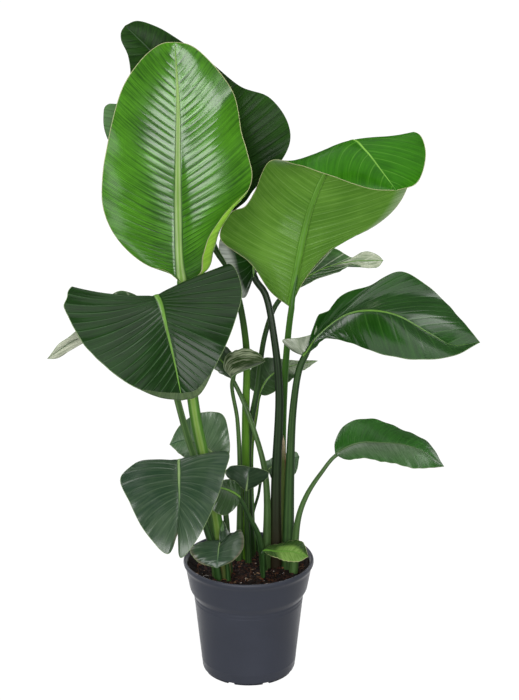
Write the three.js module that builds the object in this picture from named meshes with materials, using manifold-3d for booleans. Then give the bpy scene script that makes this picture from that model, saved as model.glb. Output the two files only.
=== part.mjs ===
// Potted bird of paradise: a nursery pot, the soil in it and the leaves that stand in the soil.
// Millimetres, +Z up. The origin is the centre of the pot's underside and the plant's best side looks to -Y.
import * as THREE from 'three';
import Module from 'manifold-3d';

const wasm = await Module();
wasm.setup();

// Pot, turned about Z: outside radii from the underside up to the rolled lip
const POT_HEIGHT = 219;
const LIP_RADIUS = 119.5;
const BAND_TOP_RADIUS = 115.5;
const BAND_FOOT_RADIUS = 108;
const BAND_FOOT_Z = 163;
const STEP_RADIUS = 101;
const STEP_Z = 151;
const BASE_RADIUS = 86;
const STANDING_RADIUS = 83;
const WALL = 2.2;
const POT_SIDES = 32;

// Underside: a flat disc in the middle and a standing ring, with a raised channel between them
const DISC_RADIUS = 30;
const CHANNEL_INNER = 35;
const CHANNEL_OUTER = 66;
const RING_INNER = 71;
const CHANNEL_LIFT = 4.5;
const SLOT_COUNT = 8;
const SLOT_WIDTH = 13;
const SLOT_LIFT = 4;

// Soil, filled to just under the lip
const SOIL_Z = 202;
const SOIL_FLOOR_Z = 9;
const SOIL_LUMP = 2.2;
const SOIL_SIDES = 28;
const SOIL_RINGS = [28, 55, 80, 100];
const SOIL_GAP = 0.9;
const FIT_GAP = 0.35;

// Leaves: every stalk goes down to the same depth, and a blade is one thickness all over
const STALK_FOOT_Z = 165;
const BLADE_THICKNESS = 0.9;
const RIB_TIP_DIAMETER = 1.8;
const RIB_GIRTH = 0.75;
const RIDGE = 0.08;
const KEEL = 0.55;
const VEIN_SWEEP = 1.5;
const PLEAT = 0.5;
const THICK_STALK = 15;

// A leaf's ground point is where its stalk stands at soil level. The stalk goes on through its points to the
// first rib point, where the blade starts, and the rib ends at the tip. The left and right margins run from
// the blade's start to its tip, as seen from the upper side looking along the rib. The girth is the stalk's
// diameter at the soil and at the blade. The bow is how far each half blade arches up between rib and
// margin, as a share of its width, and the wave is how far the margin ripples.
const LEAVES = [
  {
    name: 'leaf_top_front', ground: [-45, -43], girth: [26, 19],
    rows: 17, cols: 3, bow: [-0.06, -0.06], wave: 3,
    stalk: [[-70, -40, 385], [-95, -30, 515]],
    rib: [[-115, -10, 745], [-120, 10, 865], [-120, 20, 960], [-120, 40, 1055], [-125, 60, 1155]],
    left: [[-144, -17, 771], [-168, -27, 780], [-195, -34, 800], [-221, -39, 830], [-243, -40, 872],
      [-250, -30, 920], [-235, -5, 1010], [-210, 20, 1090], [-174, 36, 1137], [-146, 52, 1154]],
    right: [[-72, -22, 773], [-59, -40, 817], [-47, -48, 850], [-26, -52, 885], [5, -44, 932],
      [-10, -10, 1015], [-25, 20, 1075], [-75, 42, 1136], [-101, 54, 1152]],
  },
  {
    name: 'leaf_top_back', ground: [-8, 36], girth: [20, 11],
    rows: 19, cols: 3, bow: [0.05, 0.05], wave: 2,
    stalk: [[-5, 40, 475], [-5, 45, 625], [-30, 50, 745]],
    rib: [[-60, 60, 795], [-75, 80, 890], [-105, 105, 1020], [-155, 125, 1110], [-215, 139, 1171]],
    left: [[-100, 40, 830], [-190, 45, 870], [-228, 55, 950], [-249, 65, 1000], [-251, 72, 1026],
      [-249, 77, 1039], [-241, 81, 1044], [-228, 87, 1040], [-214, 98, 1060], [-206, 108, 1082],
      [-211, 126, 1120], [-225, 133, 1150], [-226, 137, 1163]],
    right: [[-43, 62, 838], [-27, 58, 866], [-9, 57, 872], [10, 55, 897], [60, 60, 950], [74, 68, 988],
      [63, 80, 1024], [35, 90, 1055], [-12, 98, 1071], [-56, 108, 1104], [-122, 128, 1149], [-160, 135, 1170],
      [-195, 140, 1179]],
  },
  {
    name: 'leaf_arched_right', ground: [62, 12], girth: [24, 11],
    rows: 16, cols: 3, bow: [0.03, 0.13], wave: 2,
    stalk: [[60, 15, 405], [65, 15, 560]],
    rib: [[75, 10, 695], [90, 20, 780], [110, 30, 870], [140, 20, 945], [176, -20, 1001], [198, -66, 993],
      [222, -102, 968], [246, -130, 940]],
    left: [[100, 20, 745], [150, 30, 800], [225, 30, 840], [265, 20, 885], [285, -5, 960], [276, -44, 1018],
      [290, -66, 1017], [297, -88, 990], [280, -120, 950]],
    right: [[40, 5, 725], [5, -5, 780], [-48, -15, 829], [-40, -10, 858], [-26, -4, 874], [-6, 3, 880],
      [11, 8, 903], [25, 4, 939], [40, -15, 965], [85, -70, 970], [145, -100, 955], [205, -120, 940]],
  },
  {
    name: 'leaf_drooping_left', ground: [-58, -46], girth: [16, 11],
    rows: 14, cols: 3, bow: [0.015, 0], wave: 3,
    stalk: [[-80, -50, 375], [-110, -60, 490], [-135, -60, 600], [-155, -60, 715]],
    rib: [[-157, -90, 747], [-147, -130, 746], [-135, -190, 725], [-120, -245, 685], [-106, -287, 630]],
    left: [[-115, -70, 755], [-70, -55, 770], [-30, -60, 795], [-10, -95, 760], [-25, -160, 710],
      [-55, -220, 660], [-82, -270, 631]],
    right: [[-195, -82, 732], [-245, -90, 741], [-268, -98, 752], [-293, -112, 765], [-306, -138, 738],
      [-270, -190, 690], [-210, -240, 650], [-145, -278, 632]],
  },
  {
    name: 'leaf_behind_arch', ground: [50, 0], girth: [24, 12],
    rows: 9, cols: 2, bow: [0.05, 0.05], wave: 3,
    stalk: [[50, 0, 370], [55, 0, 545], [45, 10, 645], [30, 25, 715]],
    rib: [[10, 35, 745], [15, 50, 800], [30, 75, 845], [65, 105, 885], [105, 125, 900]],
    left: [[-8, 25, 708], [-30, 20, 745], [-41, 20, 777], [-52, 18, 800], [-48, 24, 820], [-20, 42, 838],
      [15, 80, 880], [65, 120, 910]],
    right: [[30, 40, 770], [65, 65, 805], [100, 95, 840], [115, 120, 880]],
  },
  {
    name: 'leaf_twisted_tip', ground: [4, 42], girth: [18, 9],
    rows: 9, cols: 2, bow: [-0.05, -0.05], wave: 3,
    stalk: [[0, 45, 430], [15, 50, 525], [30, 60, 630], [50, 70, 685]],
    rib: [[70, 80, 705], [100, 90, 725], [145, 100, 745], [188, 105, 753], [243, 107, 754]],
    left: [[65, 105, 735], [100, 125, 770], [160, 130, 770], [188, 118, 757], [212, 117, 768],
      [234, 113, 762]],
    right: [[85, 75, 710], [130, 85, 728], [172, 92, 742], [188, 95, 750], [212, 98, 743], [233, 102, 743]],
  },
  {
    name: 'leaf_right', ground: [72, -8], girth: [26, 12],
    rows: 14, cols: 3, bow: [0.03, 0.06], wave: 3,
    stalk: [[75, -5, 395], [80, -5, 510], [90, -5, 585]],
    rib: [[100, -5, 610], [125, -10, 650], [170, -20, 690], [210, -40, 705], [255, -50, 700], [315, -65, 670],
      [352, -75, 653], [400, -80, 660]],
    left: [[80, 5, 615], [60, -5, 640], [90, 10, 640], [120, 10, 670], [144, 30, 687], [161, 38, 707],
      [183, 50, 716], [220, 58, 724], [270, 60, 745], [340, 30, 710], [380, -30, 675]],
    right: [[115, -10, 625], [135, -35, 650], [170, -80, 662], [207, -112, 656], [234, -126, 651],
      [285, -140, 650], [350, -125, 650]],
  },
  {
    name: 'leaf_low_right', ground: [82, -26], girth: [20, 7],
    rows: 9, cols: 2, bow: [0.08, 0.08], wave: 2,
    stalk: [[90, -30, 310], [105, -30, 355], [130, -35, 400]],
    rib: [[155, -35, 435], [195, -45, 460], [235, -55, 465], [275, -65, 465], [310, -75, 455],
      [345, -80, 430]],
    left: [[155, -20, 455], [175, 0, 480], [220, 10, 485], [275, 5, 470], [320, -30, 455]],
    right: [[175, -60, 435], [210, -80, 445], [245, -100, 445], [285, -110, 440], [320, -100, 435]],
  },
  {
    name: 'leaf_striped_curl', ground: [-18, 26], girth: [15, 7],
    rows: 7, cols: 2, bow: [-0.15, -0.15], wave: 1,
    stalk: [[-16, 24, 382], [-20, 20, 480]],
    rib: [[-30, 12, 564], [-10, 4, 580], [12, -6, 592], [30, -14, 604]],
    left: [[-34, 22, 582], [-18, 28, 596], [6, 24, 602], [22, 6, 604]],
    right: [[-44, -2, 588], [-36, -18, 618], [-8, -30, 632], [16, -30, 626]],
  },
  {
    name: 'leaf_tucked_left', ground: [32, -8], girth: [20, 8],
    rows: 7, cols: 2, bow: [-0.1, -0.1], wave: 2,
    stalk: [[34, -8, 336], [28, 0, 400], [4, 16, 482]],
    rib: [[-24, 38, 548], [-44, 42, 580], [-72, 38, 608], [-100, 30, 622]],
    left: [[-40, 26, 562], [-64, 14, 582], [-90, 8, 606]],
    right: [[-22, 52, 572], [-36, 58, 604], [-68, 54, 624], [-90, 44, 628]],
  },
  {
    name: 'leaf_middle_back', ground: [8, 54], girth: [12, 6],
    rows: 7, cols: 2, bow: [-0.06, -0.06], wave: 2,
    stalk: [[6, 58, 408], [14, 64, 474]],
    rib: [[20, 70, 512], [40, 78, 544], [76, 86, 560], [126, 88, 570]],
    left: [[2, 76, 522], [0, 92, 546], [24, 108, 566], [76, 112, 564], [106, 102, 566]],
    right: [[32, 62, 512], [58, 60, 528], [90, 66, 552]],
  },
  {
    name: 'leaf_low_back', ground: [-36, -28], girth: [14, 9],
    rows: 7, cols: 2, bow: [-0.1, -0.1], wave: 2,
    stalk: [[-40, -20, 302], [-48, -8, 366]],
    rib: [[-56, 4, 410], [-82, 16, 432], [-112, 14, 444], [-142, 2, 440]],
    left: [[-76, -4, 404], [-100, -10, 412], [-122, -10, 426]],
    right: [[-36, 14, 414], [-36, 30, 452], [-48, 46, 482], [-86, 54, 482], [-124, 38, 464]],
  },
  {
    name: 'leaf_low_left', ground: [-54, -60], girth: [16, 10],
    rows: 11, cols: 3, bow: [0.08, 0.08], wave: 3,
    stalk: [[-66, -68, 274], [-86, -76, 346], [-106, -84, 416]],
    rib: [[-120, -92, 448], [-120, -122, 432], [-118, -164, 402], [-120, -204, 356]],
    left: [[-84, -84, 452], [-34, -92, 460], [-40, -124, 436], [-58, -176, 396], [-84, -210, 352],
      [-114, -228, 322]],
    right: [[-150, -96, 444], [-188, -100, 448], [-222, -118, 426], [-202, -164, 392], [-172, -204, 354],
      [-136, -226, 328]],
  },
  {
    name: 'leaf_pot_front', ground: [-36, -66], girth: [12, 7],
    rows: 8, cols: 2, bow: [0.08, 0.08], wave: 1,
    stalk: [[-40, -70, 254]],
    rib: [[-48, -74, 284], [-52, -92, 280], [-54, -108, 268], [-56, -118, 252]],
    left: [[-44, -56, 298], [-46, -44, 312], [-32, -50, 288], [-14, -56, 298], [-8, -82, 278],
      [-26, -108, 262]],
    right: [[-72, -82, 288], [-104, -90, 276], [-90, -108, 260]],
  },
  {
    name: 'leaf_scoop', ground: [0, 10], girth: [14, 8],
    rows: 7, cols: 2, bow: [-0.1, -0.1], wave: 1,
    stalk: [[-2, 6, 270]],
    rib: [[-4, 0, 350], [-2, 2, 366], [0, 6, 380], [4, 12, 392]],
    left: [[-22, -14, 370], [-42, -18, 392], [-34, -6, 400], [-12, 6, 398]],
    right: [[16, -16, 368], [34, -30, 388], [36, -28, 398], [20, -14, 400]],
  },
  {
    name: 'leaf_low_middle', ground: [28, -28], girth: [17, 8],
    rows: 7, cols: 2, bow: [0.05, 0.05], wave: 1,
    stalk: [[18, -36, 280], [2, -40, 316]],
    rib: [[-14, -46, 356], [-32, -52, 372], [-54, -60, 382], [-76, -68, 384]],
    left: [[-20, -58, 346], [-40, -68, 332], [-64, -76, 346]],
    right: [[-14, -36, 372], [-32, -36, 388], [-56, -52, 388]],
  },
  {
    name: 'leaf_behind_stems', ground: [16, 58], girth: [8, 5],
    rows: 7, cols: 2, bow: [0.05, 0.05], wave: 1,
    stalk: [[6, 62, 266], [18, 66, 316], [24, 70, 346]],
    rib: [[36, 74, 362], [54, 80, 372], [74, 84, 378], [94, 84, 384]],
    left: [[26, 84, 370], [44, 98, 376], [70, 104, 384], [88, 98, 388]],
    right: [[44, 62, 348], [66, 58, 348], [86, 64, 358]],
  },
  {
    name: 'leaf_pot_right', ground: [26, -46], girth: [12, 8],
    rows: 7, cols: 2, bow: [0.05, 0.05], wave: 1,
    stalk: [[26, -52, 234]],
    rib: [[26, -58, 258], [48, -64, 260], [76, -70, 262], [108, -74, 254]],
    left: [[38, -44, 262], [66, -40, 266], [96, -46, 272]],
    right: [[38, -72, 256], [64, -86, 252], [88, -88, 250]],
  },
  {
    name: 'leaf_pale_tip', ground: [-34, -34], girth: [14, 9],
    rows: 9, cols: 2, bow: [-0.1, -0.1], wave: 3,
    stalk: [[-65, -20, 350], [-90, -15, 465], [-110, 0, 565]],
    rib: [[-130, 5, 620], [-175, -5, 660], [-240, -35, 670], [-298, -70, 662], [-324, -84, 648],
      [-345, -95, 635]],
    left: [[-155, -20, 670], [-200, -20, 730], [-235, -40, 740], [-269, -64, 704], [-301, -80, 673],
      [-325, -88, 659]],
    right: [[-150, 20, 610], [-215, 0, 630], [-279, -54, 664], [-307, -76, 644], [-327, -88, 634]],
  },
];

const vector = (p) => new THREE.Vector3(p[0], p[1], p[2]);

// A closed indexed mesh as a solid that can be joined and cut
function solidFrom(points, faces) {
  const vertProperties = new Float32Array(points.length * 3);
  points.forEach((p, i) => vertProperties.set([p.x, p.y, p.z], i * 3));
  const triVerts = new Uint32Array(faces.flat());
  return new wasm.Manifold(new wasm.Mesh({ numProp: 3, vertProperties, triVerts }));
}

// The largest body of a solid, which drops the scraps that a cut leaves
function mainBody(solid) {
  const bodies = solid.decompose();
  bodies.sort((a, b) => b.volume() - a.volume());
  return bodies[0];
}

// A function that gives the point at a share of the length of a curve, from u0 to u1 of its own parameter
function alongCurve(curve, u0, u1) {
  const steps = 240;
  const points = [];
  const lengths = [0];
  for (let i = 0; i <= steps; i += 1) {
    points.push(curve.getPoint(u0 + (u1 - u0) * (i / steps)));
    if (i > 0) {
      lengths.push(lengths[i - 1] + points[i].distanceTo(points[i - 1]));
    }
  }
  return (share) => {
    const target = Math.min(Math.max(share, 0), 1) * lengths[steps];
    let i = 1;
    while (i < steps && lengths[i] < target) {
      i += 1;
    }
    const part = (target - lengths[i - 1]) / (lengths[i] - lengths[i - 1]);
    return points[i - 1].clone().lerp(points[i], part);
  };
}

// The curves of one leaf: its stalk and its rib are one curve, and its margins share the rib's two ends
function leafCurves(leaf) {
  const [gx, gy] = leaf.ground;
  const stem = [[gx, gy, STALK_FOOT_Z], [gx, gy, SOIL_Z], ...leaf.stalk];
  const spine = new THREE.CatmullRomCurve3([...stem, ...leaf.rib].map(vector));
  const neck = stem.length / (stem.length + leaf.rib.length - 1);
  const start = leaf.rib[0];
  const tip = leaf.rib[leaf.rib.length - 1];
  const margin = (points) => alongCurve(new THREE.CatmullRomCurve3([start, ...points, tip].map(vector)), 0, 1);
  return {
    stalk: alongCurve(spine, 0, neck),
    rib: alongCurve(spine, neck, 1),
    left: margin(leaf.left),
    right: margin(leaf.right),
  };
}

// The upper side's direction beside the rib, on one side of it
function upward(ribTangent, across, side) {
  return new THREE.Vector3().crossVectors(across, ribTangent).multiplyScalar(side).normalize();
}

// The rib's diameter at a share of its length, which tapers from the stalk's girth to the tip
function ribDiameter(leaf, share) {
  return RIB_TIP_DIAMETER + (leaf.girth[1] * RIB_GIRTH - RIB_TIP_DIAMETER) * (1 - share) ** 0.8;
}

// The blade's middle surface: rows of points, each row a vein on the left, the rib and a vein on the right.
// The points next to the rib lie at its two sides, and the others share out the half blade evenly.
function bladeGrid(leaf, curves) {
  const grid = [];
  const reach = leaf.cols + 1;
  for (let i = 0; i <= leaf.rows; i += 1) {
    const share = i / leaf.rows;
    const ribShare = share ** VEIN_SWEEP;
    const ribPoint = curves.rib(ribShare);
    const tangent = curves.rib(ribShare + 0.02).sub(curves.rib(ribShare - 0.02)).normalize();
    const row = [];
    for (let j = -reach; j <= reach; j += 1) {
      const side = Math.sign(j);
      const marginPoint = side < 0 ? curves.left(share) : curves.right(share);
      const across = marginPoint.clone().sub(ribPoint);
      const beside = Math.min(ribDiameter(leaf, ribShare) / 2 / across.length(), 0.5 / leaf.cols);
      const out = Math.abs(j) > 1 ? (Math.abs(j) - 1) / leaf.cols : Math.abs(j) * beside;
      const point = ribPoint.clone();
      if (side !== 0 && i > 0 && i < leaf.rows) {
        const up = upward(tangent, across, side);
        const arch = 4 * out * (1 - out) * leaf.bow[side < 0 ? 0 : 1] * across.length();
        const pleat = (i % 2 === 0 ? PLEAT : -PLEAT) * Math.min(1, 2 * out);
        const ripple = leaf.wave * out * out * Math.sin(share * (17 + 3 * side) + leaf.rows);
        point.lerp(marginPoint, out).addScaledVector(up, arch + pleat + ripple * Math.sin(Math.PI * share));
      }
      row.push(point);
    }
    grid.push(row);
  }
  return grid;
}

// A blade as a closed sheet, split into triangles alike on its two faces. It is one thickness all over, but
// for the rib, which is a low ridge above and a deeper keel below.
function bladeSolid(leaf, curves) {
  const grid = bladeGrid(leaf, curves);
  const last = leaf.rows;
  const width = grid[0].length;
  const centre = (width - 1) / 2;
  const slot = (i, j) => (i === 0 ? 0 : i === last ? 1 : 2 + (i - 1) * width + j);
  const middle = [];
  const ridges = [];
  grid.forEach((row, i) => row.forEach((point, j) => {
    middle[slot(i, j)] = point;
    ridges[slot(i, j)] = j === centre ? ribDiameter(leaf, (i / last) ** VEIN_SWEEP) : 0;
  }));
  const upper = [];
  for (let i = 0; i < last; i += 1) {
    for (let j = 0; j < width - 1; j += 1) {
      const a = slot(i, j);
      const b = slot(i, j + 1);
      const c = slot(i + 1, j + 1);
      const d = slot(i + 1, j);
      const pair = j < centre ? [[a, b, d], [b, c, d]] : [[a, b, c], [a, c, d]];
      upper.push(...pair.filter(([p, q, r]) => p !== q && q !== r && r !== p));
    }
  }
  const normals = middle.map(() => new THREE.Vector3());
  for (const [p, q, r] of upper) {
    const edge = middle[q].clone().sub(middle[p]);
    const normal = edge.cross(middle[r].clone().sub(middle[p]));
    [p, q, r].forEach((k) => normals[k].add(normal));
  }
  normals.forEach((normal) => normal.normalize());
  const half = BLADE_THICKNESS / 2;
  const count = middle.length;
  const points = [
    ...middle.map((p, k) => p.clone().addScaledVector(normals[k], half + RIDGE * ridges[k])),
    ...middle.map((p, k) => p.clone().addScaledVector(normals[k], -half - KEEL * ridges[k])),
  ];
  const faces = [...upper, ...upper.map(([p, q, r]) => [p + count, r + count, q + count])];
  for (let i = 0; i < last; i += 1) {
    const l0 = slot(i, 0);
    const l1 = slot(i + 1, 0);
    faces.push([l0, l1 + count, l0 + count], [l0, l1, l1 + count]);
    const r0 = slot(i, width - 1);
    const r1 = slot(i + 1, width - 1);
    faces.push([r0, r0 + count, r1 + count], [r0, r1 + count, r1]);
  }
  return solidFrom(points, faces);
}

// A round rod through a list of stations, each with its centre and radius
function rodSolid(stations, sides) {
  const points = [];
  const faces = [];
  let across = new THREE.Vector3(1, 0, 0);
  stations.forEach(({ centre, radius }, i) => {
    const before = stations[Math.max(i - 1, 0)].centre;
    const after = stations[Math.min(i + 1, stations.length - 1)].centre;
    const tangent = after.clone().sub(before).normalize();
    across = across.clone().addScaledVector(tangent, -across.dot(tangent)).normalize();
    const other = new THREE.Vector3().crossVectors(tangent, across);
    for (let k = 0; k < sides; k += 1) {
      const angle = (2 * Math.PI * k) / sides;
      const offset = across.clone().multiplyScalar(Math.cos(angle) * radius);
      points.push(centre.clone().add(offset).addScaledVector(other, Math.sin(angle) * radius));
    }
  });
  for (let i = 0; i < stations.length - 1; i += 1) {
    for (let k = 0; k < sides; k += 1) {
      const a = i * sides + k;
      const b = i * sides + ((k + 1) % sides);
      faces.push([a, b, b + sides], [a, b + sides, a + sides]);
    }
  }
  const top = (stations.length - 1) * sides;
  for (let k = 1; k < sides - 1; k += 1) {
    faces.push([0, k + 1, k], [top, top + k, top + k + 1]);
  }
  return solidFrom(points, faces);
}

// The stalk, from its foot in the soil up to the blade, thickest at the soil, and on a short way under the rib
function stalkSolid(leaf, curves, grow) {
  const [foot, neck] = leaf.girth;
  const thick = foot > THICK_STALK;
  const steps = thick ? 11 : 7;
  const stations = [];
  for (let i = 0; i <= steps; i += 1) {
    const share = i / steps;
    const diameter = neck + (foot - neck) * (1 - share) ** 1.6;
    stations.push({ centre: curves.stalk(share), radius: diameter / 2 + grow });
  }
  for (const share of [0.06, 0.14]) {
    const centre = curves.rib(share);
    const tangent = curves.rib(share + 0.02).sub(curves.rib(share - 0.02)).normalize();
    const veinShare = share ** (1 / VEIN_SWEEP);
    const across = curves.right(veinShare).sub(curves.left(veinShare));
    const up = upward(tangent, across, 1);
    const radius = neck * (0.46 - 1.6 * share);
    stations.push({ centre: centre.addScaledVector(up, -radius), radius: radius + grow });
  }
  return rodSolid(stations, thick ? 8 : 6);
}

// The pot is turned from one closed profile, and slots are cut through its standing ring for the water
function potSolid() {
  const outline = [
    [0, 0], [DISC_RADIUS, 0], [CHANNEL_INNER, CHANNEL_LIFT], [CHANNEL_OUTER, CHANNEL_LIFT], [RING_INNER, 0],
    [STANDING_RADIUS, 0], [BASE_RADIUS, 6], [STEP_RADIUS, STEP_Z], [BAND_FOOT_RADIUS, BAND_FOOT_Z],
    [BAND_TOP_RADIUS, POT_HEIGHT - 13], [BAND_TOP_RADIUS + 1, POT_HEIGHT - 11],
    [LIP_RADIUS, POT_HEIGHT - 8], [LIP_RADIUS, POT_HEIGHT - 3], [LIP_RADIUS - 2, POT_HEIGHT],
    [LIP_RADIUS - 4.5, POT_HEIGHT - 1], [LIP_RADIUS - 5.8, POT_HEIGHT - 5],
    [BAND_TOP_RADIUS - WALL, POT_HEIGHT - 13], [BAND_FOOT_RADIUS - WALL, BAND_FOOT_Z + 0.6],
    [STEP_RADIUS - WALL, STEP_Z + 0.6], [BASE_RADIUS - WALL, 7], [STANDING_RADIUS - 2, WALL],
    [RING_INNER + 1, WALL], [CHANNEL_OUTER + 1, CHANNEL_LIFT + WALL], [CHANNEL_INNER - 1, CHANNEL_LIFT + WALL],
    [DISC_RADIUS - 1, WALL], [0, WALL],
  ];
  const points = [];
  const faces = [];
  const rows = outline.slice(1, -1);
  for (const [radius, z] of rows) {
    for (let k = 0; k < POT_SIDES; k += 1) {
      const angle = (2 * Math.PI * (k + 0.5)) / POT_SIDES;
      points.push(new THREE.Vector3(Math.cos(angle) * radius, Math.sin(angle) * radius, z));
    }
  }
  const under = points.length;
  points.push(new THREE.Vector3(0, 0, outline[0][1]), new THREE.Vector3(0, 0, outline[outline.length - 1][1]));
  for (let k = 0; k < POT_SIDES; k += 1) {
    const next = (k + 1) % POT_SIDES;
    faces.push([under, next, k]);
    const last = (rows.length - 1) * POT_SIDES;
    faces.push([under + 1, last + k, last + next]);
    for (let i = 0; i < rows.length - 1; i += 1) {
      const a = i * POT_SIDES + k;
      const b = i * POT_SIDES + next;
      faces.push([a, b, b + POT_SIDES], [a, b + POT_SIDES, a + POT_SIDES]);
    }
  }
  let pot = solidFrom(points, faces);
  for (let i = 0; i < SLOT_COUNT; i += 1) {
    const box = new THREE.BoxGeometry(24, SLOT_WIDTH, 2 * SLOT_LIFT);
    box.translate(RING_INNER + 9, 0, 0);
    box.rotateZ((2 * Math.PI * (i + 0.5)) / SLOT_COUNT);
    pot = pot.subtract(solidFromGeometry(box));
  }
  return mainBody(pot);
}

// A box geometry as a solid, with its corners shared again
function solidFromGeometry(geometry) {
  const position = geometry.getAttribute('position');
  const seen = new Map();
  const points = [];
  const slots = [];
  for (let i = 0; i < position.count; i += 1) {
    const point = new THREE.Vector3().fromBufferAttribute(position, i);
    const key = point.toArray().map((value) => value.toFixed(4)).join(' ');
    if (!seen.has(key)) {
      seen.set(key, points.length);
      points.push(point);
    }
    slots.push(seen.get(key));
  }
  const index = geometry.getIndex();
  const faces = [];
  for (let i = 0; i < index.count; i += 3) {
    faces.push([slots[index.getX(i)], slots[index.getX(i + 1)], slots[index.getX(i + 2)]]);
  }
  return solidFrom(points, faces);
}

// The soil fills the pot: a lumpy top, sides that follow the pot's wall and a plain hole round each stalk
function soilSolid(stalks) {
  const wallRadius = (z) => {
    if (z >= BAND_FOOT_Z) {
      const share = (z - BAND_FOOT_Z) / (POT_HEIGHT - 13 - BAND_FOOT_Z);
      return BAND_FOOT_RADIUS + (BAND_TOP_RADIUS - BAND_FOOT_RADIUS) * share - WALL;
    }
    return BASE_RADIUS + (STEP_RADIUS - BASE_RADIUS) * (z - 6) / (STEP_Z - 6) - WALL;
  };
  const lump = (x, y) => {
    const wide = Math.sin(0.09 * x + 1.3) * Math.cos(0.11 * y + 0.4);
    return SOIL_LUMP * (wide + 0.5 * Math.sin(0.27 * x + 0.19 * y));
  };
  const levels = [SOIL_Z - 3, BAND_FOOT_Z + 1, STEP_Z, SOIL_FLOOR_Z];
  const edge = levels.map((z) => [wallRadius(z) - SOIL_GAP, z]);
  const rows = [...SOIL_RINGS.map((radius) => [radius, null]), ...edge];
  const points = [new THREE.Vector3(0, 0, SOIL_Z + lump(0, 0))];
  for (const [radius, z] of rows) {
    for (let k = 0; k < SOIL_SIDES; k += 1) {
      const angle = (2 * Math.PI * k) / SOIL_SIDES;
      const x = Math.cos(angle) * radius;
      const y = Math.sin(angle) * radius;
      points.push(new THREE.Vector3(x, y, z === null ? SOIL_Z + lump(x, y) : z));
    }
  }
  const foot = points.length;
  points.push(new THREE.Vector3(0, 0, SOIL_FLOOR_Z));
  const faces = [];
  for (let k = 0; k < SOIL_SIDES; k += 1) {
    const next = (k + 1) % SOIL_SIDES;
    faces.push([0, 1 + k, 1 + next]);
    const last = 1 + (rows.length - 1) * SOIL_SIDES;
    faces.push([foot, last + next, last + k]);
    for (let i = 0; i < rows.length - 1; i += 1) {
      const a = 1 + i * SOIL_SIDES + k;
      const b = 1 + i * SOIL_SIDES + next;
      faces.push([a, b + SOIL_SIDES, b], [a, a + SOIL_SIDES, b + SOIL_SIDES]);
    }
  }
  let soil = solidFrom(points, faces);
  for (const stalk of stalks) {
    soil = soil.subtract(stalk);
  }
  return mainBody(soil);
}

// A solid as a mesh of the scene
function meshFrom(solid, name, color, roughness) {
  const { vertProperties, triVerts } = solid.getMesh();
  const geometry = new THREE.BufferGeometry();
  geometry.setAttribute('position', new THREE.BufferAttribute(new Float32Array(vertProperties), 3));
  geometry.setIndex(new THREE.BufferAttribute(new Uint32Array(triVerts), 1));
  geometry.computeVertexNormals();
  const material = new THREE.MeshStandardMaterial({ color, roughness, metalness: 0, flatShading: true });
  const mesh = new THREE.Mesh(geometry, material);
  mesh.name = name;
  return mesh;
}

const GREENS = {
  leaf_top_front: 0x3a8a1c,
  leaf_arched_right: 0x4f8f25,
  leaf_pale_tip: 0x8a9a78,
  leaf_pot_right: 0x5f9e2e,
};
const DARK_GREEN = 0x27502a;

const plant = new THREE.Group();
const grownStalks = [];
for (const leaf of LEAVES) {
  const curves = leafCurves(leaf);
  let stalk = stalkSolid(leaf, curves, 0);
  for (const inner of grownStalks) {
    stalk = stalk.subtract(inner);
  }
  const whole = mainBody(mainBody(stalk).add(bladeSolid(leaf, curves)));
  grownStalks.push(stalkSolid(leaf, curves, FIT_GAP));
  plant.add(meshFrom(whole, leaf.name, GREENS[leaf.name] ?? DARK_GREEN, 0.4));
}
plant.add(meshFrom(soilSolid(grownStalks), 'soil', 0x2b1d15, 0.95));
plant.add(meshFrom(potSolid(), 'pot', 0x464a52, 0.45));

export default plant;
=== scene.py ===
"""The looks of a potted bird of paradise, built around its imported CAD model. Metres, +Z up."""

import math

import bpy
import numpy as np
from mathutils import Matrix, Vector, noise


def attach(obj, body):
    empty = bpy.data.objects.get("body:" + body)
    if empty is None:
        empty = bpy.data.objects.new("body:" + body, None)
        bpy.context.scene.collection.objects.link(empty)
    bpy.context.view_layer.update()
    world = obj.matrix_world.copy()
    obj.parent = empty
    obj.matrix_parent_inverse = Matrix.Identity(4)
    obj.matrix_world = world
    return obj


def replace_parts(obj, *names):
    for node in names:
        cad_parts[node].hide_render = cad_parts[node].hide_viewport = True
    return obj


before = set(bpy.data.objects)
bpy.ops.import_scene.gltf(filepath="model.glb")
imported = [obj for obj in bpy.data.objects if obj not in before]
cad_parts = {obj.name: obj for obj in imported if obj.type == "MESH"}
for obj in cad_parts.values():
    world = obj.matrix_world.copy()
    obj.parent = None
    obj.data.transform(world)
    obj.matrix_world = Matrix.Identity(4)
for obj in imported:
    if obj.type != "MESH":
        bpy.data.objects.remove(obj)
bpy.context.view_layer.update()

# Camera and studio
# A portrait lens 3.2 m in front of the plant looks down on it. The plant stands in a white cove. Softboxes
# beside the lens put the sheen on the upright leaves, those above put it on the level ones, and the others
# light its sides and its back.
MM = 0.001
CAMERA_PLACE = (0.020, -3.200, 1.678)
CAMERA_PITCH = math.radians(18.3)
SENSOR_HEIGHT = 36.0
PICTURE_HEIGHT = 700
FOCAL_PIXELS = 1905
COVE_RADIUS = 30.0
COVE_GLOW = 1.05
COVE_SIDES = 48
# The cove's rings from the floor up to the roof, as shares of its radius: how wide and how high
COVE_RINGS = [(1.0, 0.0), (0.97, 0.26), (0.87, 0.5), (0.71, 0.71), (0.5, 0.87), (0.2, 0.98)]
ROOM_GLOW = 0.08
# A softbox of glow 1 gives off this many watts from each square metre
WATTS_PER_GLOW = 4.0
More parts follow.
